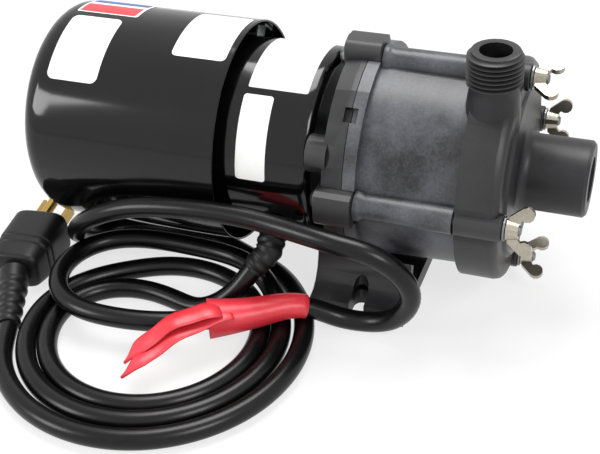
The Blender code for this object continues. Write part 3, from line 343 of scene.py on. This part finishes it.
def smooth_path(points: Array, spacing: float) -> Array:
    """Natural cubic spline through the points by chord length, sampled at even spacing.

    Args:
        points: shape n, 3.
        spacing: metres between samples.

    Returns:
        Even samples of shape m, 3.
    """
    n = len(points)
    knots = np.concatenate([[0], np.cumsum(np.linalg.norm(np.diff(points, axis=0), axis=1))])
    h = np.diff(knots)
    inner = np.arange(1, n - 1)
    system = np.eye(n)
    system[inner, inner - 1], system[inner, inner + 1] = h[:-1], h[1:]
    system[inner, inner] = 2 * (h[:-1] + h[1:])
    right = np.zeros((n, 3))
    slopes = np.diff(points, axis=0) / h[:, None]
    right[1:-1] = 6 * np.diff(slopes, axis=0)
    bend = np.linalg.solve(system, right)
    x = np.linspace(0, knots[-1], 60 * n)
    s = np.clip(np.searchsorted(knots, x, side="right") - 1, 0, n - 2)
    a = ((knots[s + 1] - x) / h[s])[:, None]
    c = 1 - a
    fine = (a * points[s] + c * points[s + 1]
            + ((a ** 3 - a) * bend[s] + (c ** 3 - c) * bend[s + 1]) * (h[s] ** 2)[:, None] / 6)
    run = np.concatenate([[0], np.cumsum(np.linalg.norm(np.diff(fine, axis=0), axis=1))])
    even = np.linspace(0, run[-1], int(run[-1] / spacing) + 1)
    return np.stack([np.interp(even, run, fine[:, k]) for k in range(3)], 1)


def carried(path: Array, radii: Array, steps: int = 24,
            squash: tuple[float, float] = (1.0, 1.0)) -> Array:
    """Round section carried along a path: each ring lies square to it, and its side stays level.

    Args:
        path: centre line of shape n, 3.
        radii: radius at each point, of shape n.
        steps: columns round the section.
        squash: share of the radius across and up.

    Returns:
        Grid of shape n, steps, 3.
    """
    ahead = np.gradient(path, axis=0)
    ahead /= np.linalg.norm(ahead, axis=1, keepdims=True)
    side = np.cross(ahead, [0.0, 0.0, 1.0])
    flat = np.linalg.norm(side, axis=1, keepdims=True)
    side = side / np.maximum(flat, 1e-9)
    up = np.cross(side, ahead)
    turn = np.linspace(0, 2 * np.pi, steps, endpoint=False)
    ring = (side[:, None] * np.cos(turn)[None, :, None] * squash[0]
            + up[:, None] * np.sin(turn)[None, :, None] * squash[1])
    return path[:, None] + ring * radii[:, None, None]


def soft_copy(node: str, finish: Finish, body: Body = Body.PUMP, edge: float = 0.0004,
              shape: object = None) -> bpy.types.Object:
    """Copies a CAD node's mesh, merges it, rounds its edges and stands it in for the node.

    Args:
        node: the node's name.
        finish: what it is made of.
        body: the body that it rides on.
        edge: width of the rounded edges, in metres.
        shape: a function from points to points that refines the copy, or None.

    Returns:
        The new piece.
    """
    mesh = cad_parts[node].data.copy()
    mesh.name = node + "_soft"
    work = bmesh.new()
    work.from_mesh(mesh)
    bmesh.ops.remove_doubles(work, verts=work.verts, dist=2e-6)
    bmesh.ops.dissolve_limit(work, angle_limit=math.radians(0.6), verts=work.verts, edges=work.edges)
    work.to_mesh(mesh)
    work.free()
    if shape is not None:
        spots = np.empty(len(mesh.vertices) * 3)
        mesh.vertices.foreach_get("co", spots)
        mesh.vertices.foreach_set("co", shape(spots.reshape(-1, 3)).ravel())
    made = finished(node + "_soft", mesh, finish, body, angle=28.0)
    if edge > 0:
        bevel = made.modifiers.new("rounded edges", "BEVEL")
        bevel.width, bevel.segments, bevel.limit_method = edge, 2, "ANGLE"
        bevel.angle_limit = math.radians(32)
        even = made.modifiers.new("even shading", "WEIGHTED_NORMAL")
        even.keep_sharp = True
    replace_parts(made, node)
    return made


def dress(nodes: list[str], finish: Finish) -> None:
    """Gives CAD nodes that stay a finish in their own slots.

    Args:
        nodes: names of the nodes.
        finish: what they are made of.
    """
    for name in nodes:
        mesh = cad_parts[name].data
        mesh.materials.clear()
        mesh.materials.append(finish.build())
        LOG.info("%s: dressed in %s", name, finish.name)


@dataclass
class Studio:
    """Camera at the photograph's angle, soft lamps, pale floor and white background."""
    azimuth: float = 21.62
    elevation: float = 35.29
    roll: float = -3.27
    target: tuple[float, float, float] = (-0.03932, 0.0, 0.01007)
    distance: float = 0.53565
    lens: float = 72.0
    aim: tuple[float, float, float] = (-0.03, -0.03, 0.04)      # where the lamps point
    lamps: tuple = (("lamp over", (-0.1, 0.25, 1.0), 0.55, 9.0),
                    ("lamp left", (-0.9, -0.8, 0.55), 0.45, 6.0),
                    ("lamp right", (0.85, -0.75, 1.0), 0.5, 8.0))   # name, place, size, power
    floor_half: float = 4.0
    floor_glow: float = 0.72        # share of its own light where the floor is seen
    sky: tuple[float, float] = (0.45, 1.0)      # the world's strength unseen and seen

    def build(self) -> None:
        """Makes the camera, the lamps, the floor and the world."""
        a, e, k = (math.radians(v) for v in (self.azimuth, self.elevation, self.roll))
        back = Vector((math.sin(a) * math.cos(e), -math.cos(a) * math.cos(e), math.sin(e)))
        right = Vector((math.cos(a), math.sin(a), 0.0))
        up = back.cross(right)
        side = math.cos(k) * right + math.sin(k) * up
        high = -math.sin(k) * right + math.cos(k) * up
        data = bpy.data.cameras.new("camera")
        data.lens, data.sensor_width = self.lens, 36.0
        data.clip_start, data.clip_end = 0.01, 20.0
        camera = bpy.data.objects.new("camera", data)
        bpy.context.scene.collection.objects.link(camera)
        turn = Matrix((side, high, back)).transposed().to_4x4()
        camera.matrix_world = Matrix.Translation(Vector(self.target) + back * self.distance) @ turn
        bpy.context.scene.camera = camera
        bpy.context.scene.view_settings.view_transform = "Standard"
        for name, place, size, power in self.lamps:
            lamp = bpy.data.lights.new(name, "AREA")
            lamp.energy, lamp.size = power, size
            spot = bpy.data.objects.new(name, lamp)
            bpy.context.scene.collection.objects.link(spot)
            back = Vector(place) - Vector(self.aim)
            spot.matrix_world = Matrix.Translation(place) @ back.to_track_quat("Z", "Y").to_matrix().to_4x4()
        self.backdrop()

    def backdrop(self) -> None:
        """Pale floor that keeps the shadow, and a world that is white where it is seen."""
        mesh = bpy.data.meshes.new("floor")
        h = self.floor_half
        mesh.from_pydata([(-h, -h, 0), (h, -h, 0), (h, h, 0), (-h, h, 0)], [], [(0, 1, 2, 3)])
        floor = bpy.data.objects.new("floor", mesh)
        bpy.context.scene.collection.objects.link(floor)
        paper = bpy.data.materials.new("white sweep")
        paper.use_nodes = True
        tree = paper.node_tree
        tree.nodes.clear()
        seen = self.seen(tree)
        share = add_node(tree, "ShaderNodeMath", {1: self.floor_glow}, {0: seen},
                         operation="MULTIPLY").outputs[0]
        matt = add_node(tree, "ShaderNodeBsdfDiffuse", {"Color": linear("f4f4f4")})
        glow = add_node(tree, "ShaderNodeEmission", {"Color": (1, 1, 1, 1), "Strength": 1.0})
        mixed = add_node(tree, "ShaderNodeMixShader", None,
                         {0: share, 1: matt.outputs[0], 2: glow.outputs[0]})
        add_node(tree, "ShaderNodeOutputMaterial", None, {"Surface": mixed.outputs[0]})
        mesh.materials.append(paper)
        world = bpy.data.worlds.new("studio")
        world.use_nodes = True
        bpy.context.scene.world = world
        tree = world.node_tree
        tree.nodes.clear()
        level = add_node(tree, "ShaderNodeMapRange", {"To Min": self.sky[0], "To Max": self.sky[1]},
                         {"Value": self.seen(tree)})
        sky = add_node(tree, "ShaderNodeBackground", {"Color": (1, 1, 1, 1)},
                       {"Strength": level.outputs["Result"]})
        add_node(tree, "ShaderNodeOutputWorld", None, {"Surface": sky.outputs[0]})

    @staticmethod
    def seen(tree: bpy.types.NodeTree) -> bpy.types.NodeSocket:
        """Returns 1 for camera, glossy and transmission rays."""
        light = add_node(tree, "ShaderNodeLightPath").outputs
        first = add_node(tree, "ShaderNodeMath", None,
                         {0: light["Is Camera Ray"], 1: light["Is Glossy Ray"]},
                         operation="MAXIMUM").outputs[0]
        return add_node(tree, "ShaderNodeMath", None, {0: first, 1: light["Is Transmission Ray"]},
                        operation="MAXIMUM").outputs[0]


@dataclass
class Lead:
    """Mains lead: sleeve, cord in one length, strain relief and three-pin plug, with a blank tag."""
    coil: tuple[float, float] = (-0.075, -0.078)                  # its middle
    turns: tuple[float, float] = (0.0435, 0.052)                  # radii of the inner and outer turns
    outer_turn: float = 0.0614                                    # radius of the last stretch to the plug
    outer_sweep: tuple[float, float] = (72.0, -165.0)             # where it starts and ends, in degrees
    floor: float = 0.0045                                         # height of the cord on the floor
    top: float = 0.0129                                           # its height where it crosses the coil
    gland: tuple[float, float, float] = (-0.036, 212.0, 0.0402)   # x, place round the shell, shell radius
    sleeve_length: float = 0.007                                  # from the shell to the cord's start
    plug: tuple[float, float, float] = (-0.148, -0.050, 97.0)     # middle, and the blades' way in degrees
    plug_size: tuple[float, float, float] = (0.032, 0.025, 0.021)     # long, wide, high
    made: list = field(default_factory=list)

    def ring(self, angles: Array, radii: Array, heights: Array) -> Array:
        """Points round the coil's middle at the angles in degrees, radii and heights."""
        turn = np.radians(angles)
        return np.stack([self.coil[0] + radii * np.cos(turn), self.coil[1] + radii * np.sin(turn),
                         heights * np.ones(len(turn))], 1)

    def route(self) -> Array:
        """Route of the whole cord, from the gland through the coil to the plug's relief."""
        x, turn, shell = self.gland
        out = (math.cos(math.radians(turn)), math.sin(math.radians(turn)))
        start = shell + GAP + self.sleeve_length + CORD_R / 4
        first = np.array([(x, r * out[0], AXIS_H + r * out[1]) for r in (start, start + CORD_R)])
        down = np.array([
            (-0.0395, -0.0488, 0.0250), (-0.0450, -0.0538, 0.0175), (-0.0530, -0.0583, 0.0100),
            (-0.0630, -0.0600, 0.0055), (-0.0735, -0.0575, self.floor)])
        into = self.ring(np.array([122.0, 148.0, 172.0]), np.array([0.0275, 0.0365, 0.0425]), self.floor)
        wound = np.arange(190.0, 743.0, 15.0)
        shift = np.clip((wound - 478) / 67, 0, 1)
        radii = self.turns[0] + (self.turns[1] - self.turns[0]) * shift ** 2 * (3 - 2 * shift)
        coil = self.ring(wound, radii, self.floor)
        rise = self.ring(np.array([752.0, 763.0]), np.array([0.0517, 0.0509]),
                         self.floor + (self.top - self.floor) * np.array([0.28, 0.72]))
        t, f = self.top, self.floor
        over = np.array([
            (-0.0460, -0.0375, t), (-0.0560, -0.0328, t), (-0.0760, -0.0302, t), (-0.0920, -0.0302, t),
            (-0.1050, -0.0320, t), (-0.1170, -0.0380, t), (-0.1245, -0.0490, t), (-0.1252, -0.0630, t),
            (-0.1180, -0.0755, t), (-0.1050, -0.0825, t), (-0.0900, -0.0838, t), (-0.0700, -0.0810, t),
            (-0.0520, -0.0742, t), (-0.0340, -0.0640, t), (-0.0190, -0.0555, 0.0128),
            (-0.0050, -0.0500, 0.0060), (0.0050, -0.0485, f + 0.0003), (0.0155, -0.0493, 0.0082),
            (0.0235, -0.0516, 0.0170), (0.0265, -0.0545, 0.0280), (0.0230, -0.0575, 0.0390),
            (0.0145, -0.0595, 0.0468), (0.0020, -0.0600, 0.0500), (-0.0120, -0.0580, 0.0505),
            (-0.0270, -0.0545, 0.0500), (-0.0440, -0.0524, 0.0500), (-0.0610, -0.0522, 0.0496),
            (-0.0790, -0.0522, 0.0478), (-0.0940, -0.0522, 0.0446), (-0.1070, -0.0520, 0.0392),
            (-0.1180, -0.0496, 0.0312), (-0.1260, -0.0440, 0.0215), (-0.1298, -0.0345, 0.0122),
            (-0.1280, -0.0235, 0.0062), (-0.1200, -0.0150, f), (-0.1060, -0.0112, f), (-0.0900, -0.0112, f),
            (-0.0740, -0.0126, f)])
        last = self.ring(np.linspace(*self.outer_sweep, 14), self.outer_turn, f)
        return np.vstack([first, down, into, coil, rise, over, last])

    def build(self) -> None:
        path = smooth_path(self.route(), 0.002)
        cord = grid_mesh("lead_jacket", carried(path, np.full(len(path), CORD_R), 28), JACKET, caps=True)
        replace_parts(cord, "cord_lead", "cord_coil", "cord_run")
        pieces = [self.sleeve(path), self.relief(path[-1]), self.plug_body()]
        pieces += self.tag(path)
        dress(["plug_blade_1", "plug_blade_2", "plug_ground_pin"], BRASS)

    def sleeve(self, path: Array) -> bpy.types.Object:
        """Ribbed sleeve from the shell along the cord's first 20 mm: a taper with a wave along its length."""
        x, turn, shell = self.gland
        out = np.array([0.0, math.cos(math.radians(turn)), math.sin(math.radians(turn))])
        foot = np.array([x, 0.0, AXIS_H]) + out * (shell + GAP)
        line = np.vstack([[foot, foot + out * 0.0018, foot + out * 0.0038], path[:8]])
        line = smooth_path(line, 0.0006)
        s = np.linspace(0, 1, len(line))
        wide, taper, wave, ribs, collar = 0.0062, 0.0013, 0.0003, 6, 0.0078
        radii = wide - taper * s + wave * np.sin(s * 2 * np.pi * ribs)
        radii[:4] = collar
        piece = grid_mesh("lead_sleeve", carried(line, radii, 28), MOULDED_VINYL, caps=True)
        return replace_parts(piece, "cord_gland")

    def plug_frame(self) -> tuple[Array, Array, Array, Array]:
        """Middle of the plug with its ahead, side and up directions."""
        x, y, turn = self.plug
        ahead = np.array([math.cos(math.radians(turn)), math.sin(math.radians(turn)), 0.0])
        side = np.array([-ahead[1], ahead[0], 0.0])
        return np.array([x, y, self.plug_size[2] / 2 + GAP]), ahead, side, np.array([0.0, 0.0, 1.0])

    def plug_body(self) -> bpy.types.Object:
        """Plug body: a rounded-square section along its axis, narrower at the grip, with two sunk lines."""
        middle, ahead, side, up = self.plug_frame()
        long, wide, high = self.plug_size
        s = np.concatenate([[-0.5], np.linspace(-0.499, 0.499, 120), [0.5]])
        past = np.clip(np.abs(s) - 0.44, 0, None) / 0.062
        ends = np.sqrt(np.clip(1 - past ** 2, 0.0, 1)) * 0.14 + 0.86
        taper = 1 - 0.20 * np.clip((-s - 0.02) / 0.48, 0, 1) ** 1.5
        groove = 1 - 0.07 * (np.exp(-((s + 0.10) / 0.012) ** 2) + np.exp(-((s + 0.22) / 0.012) ** 2))
        turn = np.linspace(0, 2 * np.pi, 72, endpoint=False)
        power = 2 / 4.2
        across = np.sign(np.cos(turn)) * np.abs(np.cos(turn)) ** power * wide / 2
        upward = np.sign(np.sin(turn)) * np.abs(np.sin(turn)) ** power * high / 2
        size = (ends * taper * groove)[:, None, None]
        points = (middle + (s * long)[:, None, None] * ahead
                  + size * (across[None, :, None] * side + upward[None, :, None] * up))
        piece = grid_mesh("plug_moulding", points, MOULDED_VINYL, caps=True)
        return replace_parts(piece, "plug_body")

    def relief(self, end: Array) -> bpy.types.Object:
        """Ribbed taper from the cord's end to the plug: the radius grows and waves along its length."""
        middle, ahead, _, _ = self.plug_frame()
        rear = middle - ahead * (self.plug_size[0] / 2 + 0.0004)
        t = np.linspace(0, 1, 90)[:, None]
        s = t[:, 0]
        start, growth, wave, ribs, ribbed = 0.0005, 0.0021, 0.00035, 5, 0.8
        radii = CORD_R + start + growth * s ** 1.2 + wave * np.sin(s * 2 * np.pi * ribs) * (s < ribbed)
        line = end + (rear - end) * (0.04 + 0.94 * t)
        piece = grid_mesh("plug_taper", carried(line, radii, 32), MOULDED_VINYL, caps=True)
        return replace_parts(piece, "plug_relief")

    @staticmethod
    def film(name: str, points: Array, wrap: bool) -> bpy.types.Object:
        """Makes a sheet of the tag's film, 0.2 mm thick, from its grid."""
        piece = grid_mesh(name, points, TAG, wrap=wrap)
        sheet = piece.modifiers.new("film", "SOLIDIFY")
        sheet.thickness, sheet.offset = 0.0002, 1.0
        return piece

    def tag(self, path: Array) -> list:
        """Blank red tag: a creased film round the cord, and its two tails that droop over the coil."""
        near = np.argmin(np.linalg.norm(path - np.array([-0.0520, -0.0742, 0.0129]), axis=1))
        far = np.argmin(np.linalg.norm(path - np.array([-0.0165, -0.0545, 0.0128]), axis=1))
        line = path[near:far + 1]
        s = np.linspace(0, 1, len(line))
        radii = CORD_R + 0.0008 + 0.0036 * (1 - s) ** 1.3
        points = carried(line, radii, 36, (1.0, 0.92))
        points[:, :, 2] = np.maximum(points[:, :, 2], 0.0089 + 0.0001)
        out = [self.film("tag_sleeve", points, True)]
        tips = (((-0.0745, -0.1048, 0.0098), 0.0105, 0.0042),
                ((-0.0722, -0.1122, 0.0092), 0.0095, 0.0018))
        for i, (tip, width, rise) in enumerate(tips):
            root = path[near + 1 + 2 * i] + np.array([0.004, -0.001, 0.0058 - 0.0014 * i])
            t = np.linspace(0, 1, 48)[:, None]
            hump = np.array([0, 0, 1.0]) * (rise * np.sin(np.pi * t ** 0.8) + 0.0004 * np.sin(t * 17))
            sway = np.array([-0.6, 0.3, 0.0]) * 0.004 * np.sin(np.pi * t)
            spine = root * (1 - t) + np.array(tip) * t + hump + sway
            along = np.gradient(spine, axis=0)
            along /= np.linalg.norm(along, axis=1, keepdims=True)
            cross = np.cross(along, [0, 0, 1.0])
            half = width / 2 * (1 - 0.25 * t) * np.where(t < 0.82, 1.0, 1 - (t - 0.82) / 0.18 * 0.95)
            v = np.linspace(-1, 1, 9)[None, :, None]
            fold = 0.0012 * (1 - v ** 2) * np.array([0, 0, 1.0])
            sheet = spine[:, None] + cross[:, None] * (half[:, None] * v) + fold
            out.append(self.film(f"tag_tail_{i + 1}", sheet, False))
        return out


@dataclass
class FanShroud:
    """Drawn steel shroud over the motor's fan, with vents in its rear face and bare labels."""
    radius: float = 0.0472
    rear: float = -0.1453
    front: float = -0.057
    corner: float = 0.009
    vents: int = 16
    vent: tuple[float, float, float] = (0.014, 0.033, 0.0034)

    def build(self) -> None:
        """Makes the shroud and dresses its brackets and labels."""
        self.drum()
        dress(["shroud_bracket_1", "shroud_bracket_2", "shroud_bracket_3"], STEEL)
        band_x, ink_proud = (-0.1340, -0.1082), 0.00028
        label("label_warning", self.radius, (-0.1340, -0.1112), (94.6, 136.0), 0.0030, LABEL)
        label("label_top", self.radius, (-0.0830, -0.0594), (73.0, 115.0), 0.0022, LABEL)
        label("band_white", self.radius, (-0.1352, -0.1068), (66.0, 90.5), 0.0010, LABEL)
        label("band_red", self.radius, band_x, (79.0, 89.5), 0.0004, RED_INK, ink_proud)
        label("band_blue", self.radius, band_x, (67.5, 74.5), 0.0004, BLUE_INK, ink_proud)

    def drum(self) -> None:
        """Drum as one surface: polar rows on the rear face, an eased corner, then the wall to the rim.

        On the rear face a vent's two sides stay its width apart, so its columns bend with the radius.
        """
        inner, outer, width = self.vent
        face = np.array([0.0, 0.004, 0.009, inner - 0.002, inner, 0.019, 0.024, 0.029, outer,
                         0.0355, 0.0376])
        arc = np.linspace(0, np.pi / 2, 9)[1:]
        corner_r = self.radius - self.corner + self.corner * np.sin(arc)
        corner_x = self.rear + self.corner - self.corner * np.cos(arc)
        wall_x = np.linspace(self.rear + self.corner, self.front - 0.0004, 14)[1:]
        radii = np.concatenate([face, corner_r, np.full(len(wall_x), self.radius), [self.radius - GAP]])
        x = np.concatenate([np.full(len(face), self.rear), corner_x, wall_x, [self.front]])
        steps = 8
        pitch = 2 * np.pi / self.vents
        share = np.linspace(0, 1, steps + 1)[:-1]
        half = np.arcsin(np.clip(width / 2 / np.maximum(radii, 0.009), 0, 0.3))[:, None]
        between = half + (pitch - 2 * half) * (share - share[1]) / (1 - share[1])
        local = np.where(share < 1e-9, -half, between)
        turn = (local[:, None] + np.arange(self.vents)[None, :, None] * pitch).reshape(len(radii), -1)
        points = np.stack([np.repeat(x[:, None], turn.shape[1], 1),
                           radii[:, None] * np.cos(turn), AXIS_H + radii[:, None] * np.sin(turn)], -1)
        skip = np.zeros((len(radii) - 1, turn.shape[1]), bool)
        skip[4:8, ::steps] = True
        drum = grid_mesh("shroud_drum", points, ENAMEL, skip=skip)
        wall = drum.modifiers.new("sheet", "SOLIDIFY")
        wall.thickness, wall.offset = 0.001, -1.0
        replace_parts(drum, "fan_shroud")


def label(name: str, radius: float, x: tuple[float, float], turn: tuple[float, float], corner: float,
          finish: Finish, proud: float = 0.00012) -> None:
    """Bare label on the motor: a rectangle with round corners wrapped on a cylinder.

    Each row's half width shrinks on a quarter circle near the two ends, which rounds the corners.

    Args:
        name: the piece's name.
        radius: the cylinder's radius.
        x: its two ends along the shaft.
        turn: its two sides round the shaft, in degrees.
        corner: corner radius.
        finish: what it is made of.
        proud: how far it stands off the cylinder.
    """
    half_x = (x[1] - x[0]) / 2
    half_s = math.radians(turn[1] - turn[0]) / 2 * radius
    u = np.sin(np.linspace(-np.pi / 2, np.pi / 2, 41)) * half_x
    past = np.clip(np.abs(u) - (half_x - corner), 0, corner)
    half = half_s - corner + np.sqrt(np.maximum(corner ** 2 - past ** 2, 0))
    v = np.linspace(-1, 1, 41)
    angle = math.radians(sum(turn) / 2) + half[:, None] * v[None] / radius
    out = radius + proud
    points = np.stack([np.repeat((sum(x) / 2 + u)[:, None], 41, 1), out * np.cos(angle),
                       AXIS_H + out * np.sin(angle)], -1)
    grid_mesh(name, points, finish, wrap=False)


@dataclass
class Motor:
    """Drawn motor shell with its bare plates, and everything inside it."""
    radius: float = 0.0402
    rear: float = -0.1140
    front: float = -0.0198
    lip: float = 0.0345

    def build(self) -> None:
        """Makes the shell and plates, and dresses the pieces inside."""
        r, a, b = self.radius, self.rear, self.front
        profile = eased([
            (a + 0.0015, r - 0.0015, 0), (a, r - 0.0012, 0.0004), (a, r, 0.0004), (-0.0700, r, 0.0002),
            (b - 0.0001, r, 0.0042), (b, self.lip, 0.0008), (b - 0.0015, self.lip, 0.0005),
            (b - 0.0016, r - 0.004, 0.002), (b - 0.006, r - 0.0015, 0.0005), (a + 0.0015, r - 0.0015, 0)])
        shell = grid_mesh("motor_drum", turned(profile), ENAMEL)
        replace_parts(shell, "motor_shell")
        label("plate_rating", r, (-0.0494, -0.0242), (66.0, 122.4), 0.0008, PLATE)
        label("plate_side", r, (-0.0500, -0.0374), (126.6, 176.5), 0.0014, LABEL)
        dress(["front_bearing", "rear_bearing", "motor_shaft", "drive_magnet_cup"], STEEL)
        dress(["front_end_bell", "rear_end_bell", "stator_core", "rotor_core"], LAMINATED)
        dress(["winding_front", "winding_rear"], WINDING)
        dress(["cooling_fan", "thermal_protector"], FILLED)
        dress(["drive_magnet", "driven_magnet"], FERRITE)


@dataclass
class PumpEnd:
    """Adapter, housing and volute with the threaded outlet, the inlet and the clamp hardware."""
    outlet: tuple[float, float] = (0.047648, -0.017)
    outlet_top: float = 0.11735
    thread_length: float = 0.0147
    crest: float = 0.01067
    root: float = 0.0092
    pitch: float = 0.001814
    plain: float = 0.0101

    def build(self) -> None:
        """Makes the mouldings and the hardware."""
        # adapter and volute take the darker copy of the moulding: painted shade
        soft_copy("motor_adapter", FILLED_SHADED, edge=0.0006)
        soft_copy("pump_housing", FILLED, edge=0.0006)
        soft_copy("volute", FILLED_SHADED, edge=0.0005, shape=self.to_root)
        self.thread()
        dress(["isolation_can", "impeller"], FILLED)
        dress(["spindle", "thrust_washer_front", "thrust_washer_rear"], ALUMINA)
        dress(["o_ring"], NITRILE)
        nuts = (Body.NUT_FAR, Body.NUT_TOP, Body.NUT_NEAR, Body.NUT_BOTTOM)
        for i, body in enumerate(nuts, 1):
            nut = soft_copy(f"wing_nut_{i}", NICKEL, body, 0.00055)
            soft_copy(f"washer_{i}", STEEL, edge=0.0001)
            soft_copy(f"clamp_bolt_{i}", STEEL, edge=0.0002)
            dress([f"adapter_screw_{i}"], STEEL)

    def to_root(self, points: Array) -> Array:
        """Draws the outlet's plain cylinder in to the thread's root, above the thread's start."""
        away = points[:, :2] - np.array(self.outlet)
        far = np.linalg.norm(away, axis=1)
        above = points[:, 2] > self.outlet_top - self.thread_length - 1e-4
        on = above & (np.abs(far - self.plain) < 0.0009)
        scale = np.where(on, self.root / np.maximum(far, 1e-6), 1.0)
        out = points.copy()
        out[:, :2] = np.array(self.outlet) + away * scale[:, None]
        return out

    def thread(self) -> None:
        """Pipe thread as a ridge on a helix: a flat-topped 60 degree section that fades at both ends."""
        turns = self.thread_length / self.pitch - 0.9
        t = np.linspace(0, turns, int(turns * 64))
        fade = np.clip(np.minimum(t / 0.6, (turns - t) / 0.4), 0, 1)
        depth = (self.crest - self.root) * fade
        section = np.array([(-0.5, -0.02), (-0.42, 0.06), (-0.09, 1.0),
                            (0.09, 1.0), (0.42, 0.06), (0.5, -0.02)])
        turn = 2 * np.pi * t
        base = self.outlet_top - self.thread_length + self.pitch * (0.5 + t)
        z = base[:, None] + section[None, :, 0] * self.pitch
        z = np.minimum(z, self.outlet_top - 0.0002)
        r = self.root + depth[:, None] * section[None, :, 1] - 0.00002
        x = self.outlet[0] + r * np.cos(turn)[:, None]
        y = self.outlet[1] + r * np.sin(turn)[:, None]
        points = np.stack([x, y, z], -1)
        ridge = grid_mesh("outlet_thread", points, FILLED_SHADED, wrap=False)


def main() -> None:
    """Builds the scene in order."""
    Studio().build()
    for part in (Lead(), FanShroud(), Motor(), PumpEnd()):
        part.build()
        LOG.info("%s: built", type(part).__name__)


if __name__ == "__main__":
    logging.basicConfig(level=logging.INFO)
    main()
